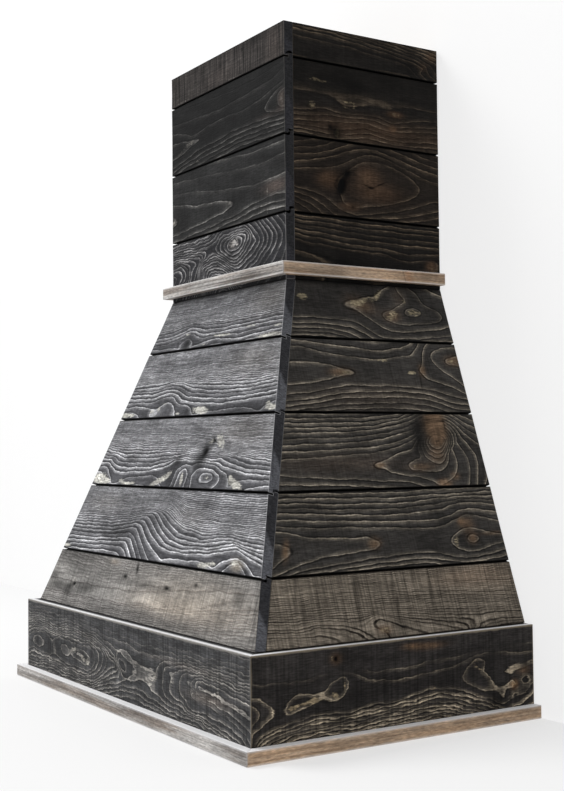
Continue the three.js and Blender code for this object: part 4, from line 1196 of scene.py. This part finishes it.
@dataclass
class Plank:
    """A straight stick of timber with a plane cut at each end, read from its CAD solid.

    Attributes:
        name: the CAD node's name.
        axes: the directions along, up and out, as a matrix's columns.
        corners: the section's corners in order, as (up, out).
        left: the left end as (at, slope up, slope out): the place along at each (up, out).
        right: the same for the right end.
    """

    name: str
    axes: ndarray
    corners: ndarray
    left: ndarray
    right: ndarray

    @classmethod
    def read(cls, name: str, facing: Facing) -> "Plank":
        """Reads a plank from the frame.

        Args:
            name: the CAD node's name.
            facing: which way its outer face looks.

        Returns:
            The plank.
        """
        shape = merged_copy(bpy.data.objects[name].data)
        along = Vector(facing.value)
        out_hint = along.cross(Vector((0.0, 0.0, 1.0)))
        outer = max(shape.faces, key=lambda f: f.normal.dot(out_hint) * math.sqrt(f.calc_area()))
        out = outer.normal.copy()
        up = out.cross(along)
        axes = np.array([along, up, out]).T
        cap = min(shape.faces, key=lambda f: f.normal.dot(along))
        start = np.array([v.co for v in cap.verts]) @ axes / MM
        places = np.array([v.co for v in shape.verts]) @ axes / MM
        shape.free()
        finish = np.array([
            places[np.argmax(np.where(np.hypot(*(places[:, 1:] - corner[1:]).T) < 0.1, places[:, 0], -np.inf))]
            for corner in start
        ])
        return cls(name, axes, start[:, 1:], cls._plane(start), cls._plane(finish))

    @staticmethod
    def _plane(points: ndarray) -> ndarray:
        """Fits the plane cut of an end through its corners."""
        table = np.column_stack([np.ones(len(points)), points[:, 1:]])
        return np.linalg.lstsq(table, points[:, 0], rcond=None)[0]

    @property
    def surface(self) -> float:
        """The outer face's place along the outward axis."""
        return float(self.corners[:, 1].max())

    @property
    def span(self) -> tuple[float, float]:
        """The lower and upper edge of the outer face."""
        on_face = self.corners[self.corners[:, 1] > self.surface - TOUCH, 0]
        return float(on_face.min()), float(on_face.max())

    @property
    def length(self) -> float:
        """The length of the outer face at half its height."""
        low, high = self.span
        place = np.array([1.0, (low + high) / 2, self.surface])
        return float(place @ (self.right - self.left))

    def outline(self, arris: float, face_step: float, back_step: float, hollow: float) -> dict[str, ndarray]:
        """Divides the section finely and eases its corners.

        Args:
            arris: how far the corners are rounded.
            face_step: the spacing of points on the outer face.
            back_step: the widest spacing elsewhere.
            hollow: how far the outer face is cupped in its middle.

        Returns:
            The points of the fine section (seat), the way that each faces (outward), its distance from the
            nearest edge of the outer face (arris), and 1 for the points on that face and 0 elsewhere (face).
        """
        corners = self.corners
        count = len(corners)
        turn = np.sign(np.sum(np.cross(corners, np.roll(corners, -1, axis=0))))
        seats: list[ndarray] = []
        normals: list[ndarray] = []
        for i in range(count):
            before, here, after = corners[i - 1], corners[i], corners[(i + 1) % count]
            back = (before - here) / np.linalg.norm(before - here)
            ahead = (after - here) / np.linalg.norm(after - here)
            into = np.array([-back[1], back[0]]) * turn
            outof = np.array([ahead[1], -ahead[0]]) * turn
            is_convex = np.cross(-back, ahead) * turn > 0
            for t in (0.0, 0.34, 0.67, 1.0) if is_convex else (0.5,):
                start, stop = here + back * arris, here + ahead * arris
                bend = (1 - t) ** 2 * start + 2 * t * (1 - t) * here + t**2 * stop
                facing = into * (1 - t) + outof * t
                seats.append(bend if is_convex else here)
                normals.append(facing / np.linalg.norm(facing))
            on_face = min(here[1], after[1]) > self.surface - TOUCH
            room = np.linalg.norm(after - here) - 2 * arris
            pieces = max(3, math.ceil(room / (face_step if on_face else back_step)))
            support = min(0.12, 0.8 / max(room, 1.0))
            for share in np.unique([support, *np.linspace(0, 1, pieces + 1)[1:-1], 1 - support]):
                seats.append(here + ahead * (arris + share * room))
                normals.append(outof)
        seat, outward = np.array(seats), np.array(normals)
        low, high = self.span
        face = ((seat[:, 1] > self.surface - 0.01) & (np.abs(outward[:, 1] - 1) < 1e-6)).astype(float)
        near_face = seat[:, 1] > self.surface - arris * 1.01
        arris_distance = np.minimum(seat[:, 0] - low, high - seat[:, 0]) - arris
        distance = np.where(face > 0, np.maximum(arris_distance, 0.0), np.where(near_face, 0.0, FAR))
        middle = (seat[:, 0] - low) / (high - low)
        seat[:, 1] -= face * hollow * 4 * np.clip(middle * (1 - middle), 0, 1)
        flat, outward = (np.pad(points, ((0, 0), (0, 1))) for points in (seat, outward))
        return {"seat": flat, "outward": outward, "arris": distance, "face": face}


def merged_copy(mesh: Mesh) -> bmesh.types.BMesh:
    """Copies a CAD node's loose triangles as a closed body with whole flat faces."""
    shape = bmesh.new()
    shape.from_mesh(mesh)
    bmesh.ops.remove_doubles(shape, verts=shape.verts, dist=WELD)
    bmesh.ops.dissolve_limit(shape, angle_limit=0.01, verts=shape.verts, edges=shape.edges)
    shape.normal_update()
    return shape


def add_point_attribute(mesh: Mesh, name: str, values: ndarray) -> None:
    """Stores a number or a vector on each vertex.

    Args:
        mesh: the mesh.
        name: the attribute's name.
        values: one value, or one row of three, for each vertex.
    """
    is_vector = values.ndim == 2
    made = mesh.attributes.new(name, "FLOAT_VECTOR" if is_vector else "FLOAT", "POINT")
    made.data.foreach_set("vector" if is_vector else "value", values.astype(np.float32).ravel())


def read_point_attribute(mesh: Mesh, name: str) -> ndarray:
    """Reads a vertex attribute back as an array."""
    stored = mesh.attributes[name]
    is_vector = stored.data_type == "FLOAT_VECTOR"
    values = np.zeros(len(mesh.vertices) * (3 if is_vector else 1), np.float32)
    stored.data.foreach_get("vector" if is_vector else "value", values)
    return values.reshape(-1, 3).astype(float) if is_vector else values.astype(float)


class PlankSweep:
    """The Geometry Nodes tree that sweeps a section between two plane cuts.

    The swept object's own mesh is the rail: a line of points that hold their share of the length, and how
    far the section is drawn in there. The section is another object's closed line of edges.
    """

    name = "plank_sweep"
    takes = {
        "Rail": "Geometry", "Outline": "Object", "Left End": "Vector", "Right End": "Vector",
        "Finish": "Material",
    }

    def tree(self) -> NodeTree:
        """Returns the tree, which is built the first time."""
        found = bpy.data.node_groups.get(self.name)
        if found:
            return found
        tree = bpy.data.node_groups.new(self.name, "GeometryNodeTree")
        for socket, kind in self.takes.items():
            tree.interface.new_socket(socket, in_out="INPUT", socket_type="NodeSocket" + kind)
        tree.interface.new_socket("Plank", in_out="OUTPUT", socket_type="NodeSocketGeometry")
        graph = Graph(tree)
        entry = graph.node("NodeGroupInput").outputs
        section = graph.node("GeometryNodeObjectInfo", {"Object": entry["Outline"]}).outputs["Geometry"]
        lines = (entry["Rail"], section)
        rail, profile = (graph.node("GeometryNodeMeshToCurve", {0: line}).outputs[0] for line in lines)
        inputs = {"Curve": rail, "Profile Curve": profile, "Fill Caps": True}
        swept = graph.node("GeometryNodeCurveToMesh", inputs).outputs[0]
        seat, outward = (self._stored(graph, name, "FLOAT_VECTOR") for name in ("seat", "outward"))
        inset, share = (self._stored(graph, name, "FLOAT") for name in ("inset", "share"))
        up, out, _ = graph.split(graph.vector("SUBTRACT", seat, graph.scaled(outward, inset)))
        across = graph.joined(1.0, up, out)
        left, right = (graph.vector("DOT_PRODUCT", across, entry[end]) for end in ("Left End", "Right End"))
        along = graph.plus(graph.times(left, graph.minus(1.0, share)), graph.times(right, share))
        place = graph.joined(along, up, out)
        moved = graph.node("GeometryNodeSetPosition", {"Geometry": swept, "Position": place}).outputs[0]
        whole = graph.node("GeometryNodeRealizeInstances", {0: moved}).outputs[0]
        dressed = graph.node("GeometryNodeSetMaterial", {"Geometry": whole, "Material": entry["Finish"]})
        graph.node("NodeGroupOutput", {0: dressed.outputs[0]})
        return tree

    @staticmethod
    def _stored(graph: Graph, name: str, kind: str) -> Socket:
        """Returns a named attribute's socket in a geometry tree."""
        made = graph.node("GeometryNodeInputNamedAttribute", {"Name": name}, data_type=kind)
        return made.outputs["Attribute"]

    def sweep(
        self, plank: Plank, outline: dict[str, ndarray], steps: int, arris: float, finish: Material
    ) -> Object:
        """Sweeps one plank.

        Args:
            plank: the plank to make.
            outline: its fine section.
            steps: how many lengths it is divided into.
            arris: how far its ends are eased.
            finish: its material.

        Returns:
            A plain mesh object in (along, up, out) millimetres, with its share, seat and outward stored.
        """
        section = line_object("outline", outline["seat"], True, outline)
        turns = np.radians(np.array([0.0, 30.0, 60.0, 90.0]))
        ease = arris * (1 - np.cos(turns)) / plank.length
        inset = arris * (1 - np.sin(turns))
        middle = np.linspace(ease[-1], 1 - ease[-1], steps + 1)[1:-1]
        share = np.concatenate([ease, middle, 1 - ease[::-1]])
        drawn_in = np.concatenate([inset, np.zeros(len(middle)), inset[::-1]])
        points = np.column_stack([share, share * 0, share * 0])
        rail = line_object(plank.name + "_dressed", points, False, {"share": share, "inset": drawn_in})
        values = {"Outline": section, "Left End": plank.left, "Right End": plank.right, "Finish": finish}
        made = bake_tree(rail, self.tree(), values)
        bpy.data.objects.remove(section)
        return made


def linked(name: str, data: Any) -> Object:
    """Makes an object for a mesh, a camera or a lamp, and links it to the scene."""
    made = bpy.data.objects.new(name, data)
    bpy.context.scene.collection.objects.link(made)
    return made


def line_object(name: str, points: ndarray, is_closed: bool, stored: dict[str, ndarray]) -> Object:
    """Makes an object that holds a line of edges.

    Args:
        name: the object's name.
        points: its points.
        is_closed: whether the last point joins the first.
        stored: what is stored on the points, by name.

    Returns:
        The object, linked to the scene.
    """
    count = len(points)
    mesh = bpy.data.meshes.new(name)
    edges = [(i, (i + 1) % count) for i in range(count if is_closed else count - 1)]
    mesh.from_pydata([(0.0, 0.0, 0.0)] * count, edges, [])
    mesh.vertices.foreach_set("co", points.ravel())
    for attribute, values in stored.items():
        add_point_attribute(mesh, attribute, values)
    return linked(name, mesh)


def bake_tree(host: Object, tree: NodeTree, values: dict[str, Any]) -> Object:
    """Runs a Geometry Nodes tree on an object and keeps the result as its plain mesh.

    Args:
        host: the object that the tree works on.
        tree: the tree.
        values: its inputs by name.

    Returns:
        The same object, with the result as its mesh and no modifier.
    """
    modifier = host.modifiers.new("build", "NODES")
    modifier.node_group = tree
    for item in tree.interface.items_tree:
        if item.item_type == "SOCKET" and item.in_out == "INPUT" and item.name in values:
            modifier[item.identifier] = values[item.name]
    bpy.context.view_layer.update()
    evaluated = host.evaluated_get(bpy.context.evaluated_depsgraph_get())
    result = bpy.data.meshes.new_from_object(evaluated)
    host.modifiers.remove(modifier)
    host.data = result
    result.name = host.name
    return host


def signed_volume(mesh: Mesh) -> float:
    """Returns a closed mesh's volume, which is negative if it is inside out."""
    shape = bmesh.new()
    shape.from_mesh(mesh)
    volume = shape.calc_volume(signed=True)
    shape.free()
    return volume


def hand_over(piece: Object, name: str) -> None:
    """Says what a finished piece rides on, which CAD node it stands for.

    Args:
        piece: the piece.
        name: the CAD node's name.
    """
    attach(piece, BODY)
    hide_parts(name)
    LOG.info("%s: %d faces", piece.name, len(piece.data.polygons))


@dataclass
class BoardDresser:
    """Makes the visible boards: sweeps them, draws their grain, and works their surface.

    Attributes:
        arris: the rounding of a board's edges.
        face_step: the spacing of points up the outer face.
        run_step: the spacing of points along the board.
        back_step: the widest spacing of points off the face.
        hollow: how far a board's face is cupped.
        relief: how far the brush has hollowed the soft wood.
        split_from: how dark a mark has to be for the wood to be split there, 0 to 1.
        split_depth: how deep a split is for each whole step of darkness past that.
        margin: how far in from the edges the relief comes to its full depth.
        lead_in: what covers the near end of a side board.
        joint_soot: how dark the hidden joint faces are, 0 to 1: stain run into the joints, and painted shade
            in them.
        seam_stain_and_shade: how dark the rounded edges are along the seams, 0 to 1: stain, and painted shade
            in the seams.
        has_ledge: whether the upper edge shows as a proud top with painted light on it: a highlight near its
            outer edge, and on boards with the dark stain painted shade further in.
        has_crown: whether the upper edge is open to the top, coloured like the ends, with their painted shade.
    """

    arris: float = 1.1
    face_step: float = 2.0
    run_step: float = 2.4
    back_step: float = 9.0
    hollow: float = 0.35
    relief: float = 0.3
    split_from: float = 0.75
    split_depth: float = 6.0
    margin: float = 4.0
    lead_in: float = 0.0
    joint_soot: float = 0.94
    seam_stain_and_shade: float = 0.7
    has_ledge: bool = False
    has_crown: bool = False

    def dress(self, name: str, facing: Facing, figure: Figure, slot: str) -> None:
        """Makes one board over its CAD solid.

        Args:
            name: the CAD node's name.
            facing: which way it looks.
            figure: its grain and finish.
            slot: the record's material slot; not used.
        """
        plank = Plank.read(name, facing)
        outline = plank.outline(self.arris, self.face_step, self.back_step, self.hollow)
        steps = math.ceil(plank.length / self.run_step)
        piece = PlankSweep().sweep(plank, outline, steps, self.arris, figure.finish.material())
        mesh = piece.data
        self._draw(mesh, plank, facing, figure)
        for spare in ("seat", "outward", "share", "inset", "arris", "face"):
            mesh.attributes.remove(mesh.attributes[spare])
        mesh.transform(Matrix.Scale(MM, 4))
        mesh.transform(Matrix(plank.axes.tolist()).to_4x4())
        if signed_volume(mesh) < 0:
            mesh.flip_normals()
        self._smooth(mesh)
        hand_over(piece, name)

    def _draw(self, mesh: Mesh, plank: Plank, facing: Facing, figure: Figure) -> None:
        """Draws a board's grain as attributes and cuts its relief.

        Args:
            mesh: the swept board.
            plank: what it was swept from.
            facing: which way it looks.
            figure: its grain.
        """
        count = len(mesh.vertices)
        place = np.zeros(count * 3, np.float32)
        mesh.vertices.foreach_get("co", place)
        place = place.reshape(-1, 3).astype(float)
        share = read_point_attribute(mesh, "share")
        face = read_point_attribute(mesh, "face")
        low, high = plank.span
        height = high - low
        lead_in = 0.0 if facing is Facing.FRONT else self.lead_in
        x = lead_in + (1 - share if facing is Facing.LEFT else share) * plank.length
        y = place[:, 1] - low
        grain, marks = figure.drawn(Places(x, y, lead_in + plank.length, height))
        near_end = np.minimum(share, 1 - share) * plank.length
        edge = read_point_attribute(mesh, "arris")
        is_end = near_end < TOUCH
        distance = np.minimum(edge, near_end) if self.has_ledge else near_end
        # The rounded edges along the seams are darkened: stain, and painted shade in the seams.
        if not self.has_ledge:
            is_rounded = edge < 0.5
            marks[is_rounded, 2] = np.maximum(marks[is_rounded, 2], self.seam_stain_and_shade)
        depth = plank.surface - place[:, 2]
        thickness = float(np.ptp(plank.corners[:, 1]))
        is_upper = (read_point_attribute(mesh, "outward")[:, 0] > 0.5) & ~is_end
        is_ledge, is_crown = self.has_ledge & is_upper, self.has_crown & is_upper
        is_other = ~(is_end | is_ledge | is_crown)
        is_raw = is_other & (depth > thickness - 2 * TOUCH)
        is_joint = is_other & (face < 0.5) & ~is_raw
        # The hidden joint faces are darkened: stain run into the joints, and painted shade there.
        grain[is_joint, 2] = 1.0
        marks[is_joint] = (0.0, 0.0, self.joint_soot)
        stored = {
            "grain": grain,
            "marks": marks,
            "state": np.column_stack([np.where(is_ledge, depth, distance), is_end | is_crown, is_raw]),
            "shade": np.column_stack([np.full(count, figure.tone), np.full(count, figure.warmth), is_ledge]),
            # the height share, slanting through the thickness, which sets where the ends' painted shade begins
            "level": y / height + 0.25 * depth / thickness,
            "timber": place * MM + figure.seed * np.array([0.73, 0.31, 0.17]),
        }
        for name, values in stored.items():
            add_point_attribute(mesh, name, values)
        near_edge = np.minimum(np.minimum(y, height - y), near_end)
        place[:, 2] -= face * self._sunk(grain, marks, near_edge)
        mesh.vertices.foreach_set("co", place.astype(np.float32).ravel())
        mesh.update()

    def _sunk(self, grain: ndarray, marks: ndarray, near_edge: ndarray) -> ndarray:
        """Works out how far each point of the face is brushed or split away.

        Args:
            grain: the (ring count, line share, fade) at each point.
            marks: the (cream, tan, soot) at each point.
            near_edge: the distance from the nearest edge or end.

        Returns:
            The depth at each point, 0 at the edges.
        """
        nearness = np.abs(grain[:, 0] % 1.0 - 0.5) * 2
        line = np.clip((nearness - 1 + 1.4 * grain[:, 1]) / grain[:, 1], 0, 1) * (1 - grain[:, 2])
        soft = np.where(grain[:, 1] < LINE_FINE, 1 - line, 0.5) * self.relief
        splits = np.clip(marks[:, 2] - self.split_from, 0, 1) * self.split_depth
        return (soft + splits) * np.clip(near_edge / self.margin, 0, 1)

    @staticmethod
    def _smooth(mesh: Mesh) -> None:
        """Shades the swept faces smooth and the two end faces flat."""
        most = max(len(polygon.vertices) for polygon in mesh.polygons)
        flags = [len(polygon.vertices) < most or most == 4 for polygon in mesh.polygons]
        mesh.polygons.foreach_set("use_smooth", flags)
        mesh.update()


# ---- sub-assemblies


@dataclass
class ShiplapBox:
    """The boards of the chimney or of the flare, on the front and both sides.

    Attributes:
        name: the first word of its nodes' names.
        front: the front boards' grain, from the top.
        sides: the right-hand boards' grain, from the top.
        slot: the record's material slot.
    """

    name: str
    front: Sequence[Figure]
    sides: Sequence[Figure]
    slot: str = "charcoal_board"

    def build(self) -> None:
        """Makes every board of the box."""
        dresser = BoardDresser(lead_in=self._cover_strip())
        crown_dresser = replace(dresser, has_crown=True)
        runs = (
            ("front", Facing.FRONT, self.front),
            ("right", Facing.RIGHT, self.sides),
            ("left", Facing.LEFT, tuple(reversed(self.sides))),
        )
        for side, facing, figures in runs:
            for course, figure in enumerate(figures, start=1):
                maker = crown_dresser if course == 1 else dresser
                maker.dress(f"{self.name}_{side}_board_{course}", facing, figure, self.slot)

    def _cover_strip(self) -> float:
        """Returns how much of a side face the front boards' ends cover."""
        front = Plank.read(f"{self.name}_front_board_1", Facing.FRONT)
        thickness = front.surface - float(front.corners[:, 1].min())
        lean = math.asin(front.axes[2, 2])
        return thickness / math.cos(lean)


@dataclass
class MitredRun:
    """Three boards or strips round the front and sides, mitred at the front corners.

    Attributes:
        name: the first words of its nodes' names.
        slot: the record's material slot.
        front: the front strip's grain.
        sides: the side strips' grain.
        arris: the rounding of its edges.
        relief: how far its soft wood is brushed away.
        joint_soot: how dark its hidden edges are, 0 to 1: stain, and painted shade in the joints.
    """

    name: str
    slot: str
    front: Figure
    sides: Figure
    arris: float = 1.0
    relief: float = 0.0
    joint_soot: float = 0.0

    def build(self) -> None:
        """Makes the three strips."""
        dresser = BoardDresser(
            arris=self.arris, relief=self.relief, hollow=0.0, joint_soot=self.joint_soot, has_ledge=True
        )
        for facing in Facing:
            figure = self.front if facing is Facing.FRONT else self.sides
            dresser.dress(f"{self.name}_{facing.name.lower()}", facing, figure, self.slot)


@dataclass
class PineFrame:
    """The rails, posts and rafters inside, planed and with eased edges.

    Attributes:
        arris: the rounding of their edges.
        finish: their finish.
        slot: the record's material slot; not used.
    """

    arris: float = 2.0
    finish: PlanedPine = PINE
    slot: str = "bare_pine"

    def build(self, nodes: Iterable[str]) -> None:
        """Makes every stick of the frame, from the CAD nodes' names."""
        for number, name in enumerate(sorted(nodes)):
            self._stick(name, number)

    def _stick(self, name: str, number: int) -> None:
        """Makes one stick over its CAD solid.

        Args:
            name: the CAD node's name.
            number: its place in the list, which moves its grain.
        """
        shape = merged_copy(bpy.data.objects[name].data)
        sharp = [edge for edge in shape.edges if edge.calc_face_angle(0.0) > math.radians(20)]
        run = max(sharp, key=lambda e: e.calc_length())
        along = (run.verts[1].co - run.verts[0].co).normalized()
        bmesh.ops.bevel(
            shape, geom=sharp, offset=self.arris * MM, offset_type="OFFSET", segments=3, profile=0.5,
            affect="EDGES", clamp_overlap=True,
        )
        mesh = bpy.data.meshes.new(name + "_planed")
        shape.to_mesh(mesh)
        shape.free()
        piece = linked(name + "_planed", mesh)
        hint = Vector((0.0, 0.0, 1.0)) if abs(along.z) < 0.7 else Vector((0.0, 1.0, 0.0))
        out = along.cross(hint).normalized()
        axes = np.array([along, out.cross(along), out]).T
        points = np.array([v.co for v in mesh.vertices])
        shift = np.array([number * 0.37, (number % 5) * 0.013, (number % 3) * 0.011])
        add_point_attribute(mesh, "timber", points @ axes + shift)
        # The top of a base rail shows in the gap under the boards, and is painted dark as shade there.
        if name.startswith("base_rail"):
            top = points[:, 2].max() - 0.6 * self.arris * MM
            add_point_attribute(mesh, "stained", (points[:, 2] > top).astype(float))
        mesh.materials.append(self.finish.material())
        hand_over(piece, name)


# ---- the studio


@dataclass(frozen=True)
class Studio:
    """A plain white room with soft light, and the camera.

    Attributes:
        camera_at: where the camera stands.
        heading: the camera's direction over the floor.
        pitch: how far it looks up, in radians.
        roll: how far it is turned about its own axis, in radians.
        lens: its focal length in millimetres, on a sensor whose long side is 36 mm.
        ambient: the strength of the even light.
        key_from: the direction that the main light comes from.
        key_distance: how far off it is.
        key_size: its side.
        key_power: its power, in watts.
        wall_gap: how far the backdrop stands behind the cover.
        floor_gap: how far the floor lies under it.
        sheet_reach: how far each of them reaches from its middle.
    """

    camera_at: tuple[float, float, float] = (2.0388, -1.2297, 0.4605)
    heading: tuple[float, float] = (-0.8434, 0.5372)
    pitch: float = 0.040
    roll: float = -0.010
    lens: float = 57.75
    ambient: float = 0.62
    key_from: tuple[float, float, float] = (-0.42, -0.50, 0.76)
    key_distance: float = 3.4
    key_size: float = 1.5
    key_power: float = 74.0
    wall_gap: float = 0.004
    floor_gap: float = 0.0006
    sheet_reach: float = 12.0

    def build(self) -> None:
        """Makes the camera, the lights, the world, the floor and the backdrop."""
        low, high = (Vector(corner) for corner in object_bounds())
        self._camera()
        self._world()
        self._key((low + high) / 2)
        floor_at = Vector((0.0, 0.0, low.z - self.floor_gap))
        wall_at = Vector((0.0, high.y + self.wall_gap, 0.0))
        self._sheet("floor", floor_at, Vector((0.0, 0.0, 1.0)), self._paper("floor_paper", True))
        self._sheet("backdrop", wall_at, Vector((0.0, -1.0, 0.0)), self._paper("backdrop_paper", False))
        bpy.context.scene.view_settings.view_transform = "Standard"

    def _camera(self) -> None:
        """Makes the camera and looks through it."""
        forward = Vector((*self.heading, 0.0)).normalized() * math.cos(self.pitch)
        forward.z = math.sin(self.pitch)
        level = Vector((self.heading[1], -self.heading[0], 0.0)).normalized()
        above = level.cross(forward)
        right = level * math.cos(self.roll) + above * math.sin(self.roll)
        up = right.cross(forward)
        data = bpy.data.cameras.new("camera")
        data.lens = self.lens
        data.sensor_width = 36.0
        data.clip_end = 60.0
        camera = linked("camera", data)
        turn = Matrix((right, up, -forward)).transposed()
        camera.matrix_world = Matrix.Translation(self.camera_at) @ turn.to_4x4()
        bpy.context.scene.camera = camera

    def _world(self) -> None:
        """Makes the even light, which looks white to the camera and in reflections."""
        world = bpy.data.worlds.new("studio")
        bpy.context.scene.world = world
        world.use_nodes = True
        graph = Graph(world.node_tree)
        rays = graph.node("ShaderNodeLightPath").outputs
        reflected = graph.math("MAXIMUM", rays["Is Glossy Ray"], rays["Is Transmission Ray"])
        seen = graph.math("MAXIMUM", rays["Is Camera Ray"], reflected)
        background = world.node_tree.nodes["Background"]
        background.inputs["Color"].default_value = (1.0, 1.0, 1.0, 1.0)
        graph.feed(background.inputs["Strength"], graph.spread(seen, self.ambient, 1.0))

    def _key(self, target: Vector) -> None:
        """Makes the main light, above and to the left of the front.

        Args:
            target: the point that it looks at.
        """
        data = bpy.data.lights.new("key", "AREA")
        data.shape = "SQUARE"
        data.size = self.key_size
        data.energy = self.key_power
        light = linked("key", data)
        away = Vector(self.key_from).normalized()
        light.location = target + away * self.key_distance
        light.rotation_euler = away.to_track_quat("Z", "Y").to_euler()

    def _sheet(self, name: str, at: Vector, normal: Vector, material: Material) -> None:
        """Makes a large square sheet that isn't part of the object.

        Args:
            name: its name.
            at: its middle.
            normal: the way it faces.
            material: its finish.
        """
        shape = bmesh.new()
        bmesh.ops.create_grid(shape, x_segments=1, y_segments=1, size=self.sheet_reach)
        mesh = bpy.data.meshes.new(name)
        shape.to_mesh(mesh)
        shape.free()
        mesh.transform(Matrix.Translation(at) @ normal.to_track_quat("Z", "Y").to_matrix().to_4x4())
        mesh.materials.append(material)
        linked(name, mesh)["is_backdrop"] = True

    @staticmethod
    def _paper(name: str, is_solid: bool) -> Material:
        """Makes white paper that keeps a soft shadow and is clear from behind.

        Args:
            name: the material's name.
            is_solid: whether it also bounces light, as the floor does, except under what stands on it.

        Returns:
            The material.
        """
        made = bpy.data.materials.new(name)
        made.use_nodes = True
        tree = made.node_tree
        graph = Graph(tree)
        tree.nodes.remove(tree.nodes["Principled BSDF"])
        matt = graph.node("ShaderNodeBsdfDiffuse", {"Color": (0.93, 0.93, 0.93, 1.0)}).outputs[0]
        glow = graph.node("ShaderNodeEmission", {"Color": (1.0, 1.0, 1.0, 1.0), "Strength": 1.0}).outputs[0]
        clear = graph.node("ShaderNodeBsdfTransparent").outputs[0]
        rays = graph.node("ShaderNodeLightPath").outputs
        behind = graph.node("ShaderNodeNewGeometry").outputs["Backfacing"]
        white = graph.mix(0.55 if is_solid else 0.75, matt, glow)
        bounced = graph.mix(graph.math("LESS_THAN", rays["Ray Length"], 0.01), matt, clear)
        front = graph.mix(rays["Is Camera Ray"], bounced if is_solid else clear, white)
        surface = graph.mix(behind, front, clear)
        graph.feed(tree.nodes["Material Output"].inputs["Surface"], surface)
        return made


def main() -> None:
    """Builds the whole cover, piece by piece."""
    logging.basicConfig(level=logging.INFO, format="%(name)s: %(message)s")
    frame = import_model()
    Studio().build()
    chimney = ShiplapBox("chimney", CHIMNEY_FRONT_FIGURES, CHIMNEY_SIDE_FIGURES)
    flare = ShiplapBox("flare", FLARE_FRONT_FIGURES, FLARE_SIDE_FIGURES)
    collar = MitredRun("collar_trim", "weathered_trim", COLLAR_FRONT_FIGURE, COLLAR_SIDE_FIGURE)
    apron = MitredRun(
        "apron", "charcoal_apron", APRON_FRONT_FIGURE, APRON_SIDE_FIGURE, relief=0.3, joint_soot=0.6
    )
    base_trim = MitredRun("base_trim", "weathered_trim", TRIM_FRONT_FIGURE, TRIM_SIDE_FIGURE)
    for part in (chimney, flare, collar, apron, base_trim):
        part.build()
    inside = [name for name in frame["nodes"] if "rail" in name or "rafter" in name or "post" in name]
    PineFrame().build(inside)


if __name__ == "__main__":
    main()
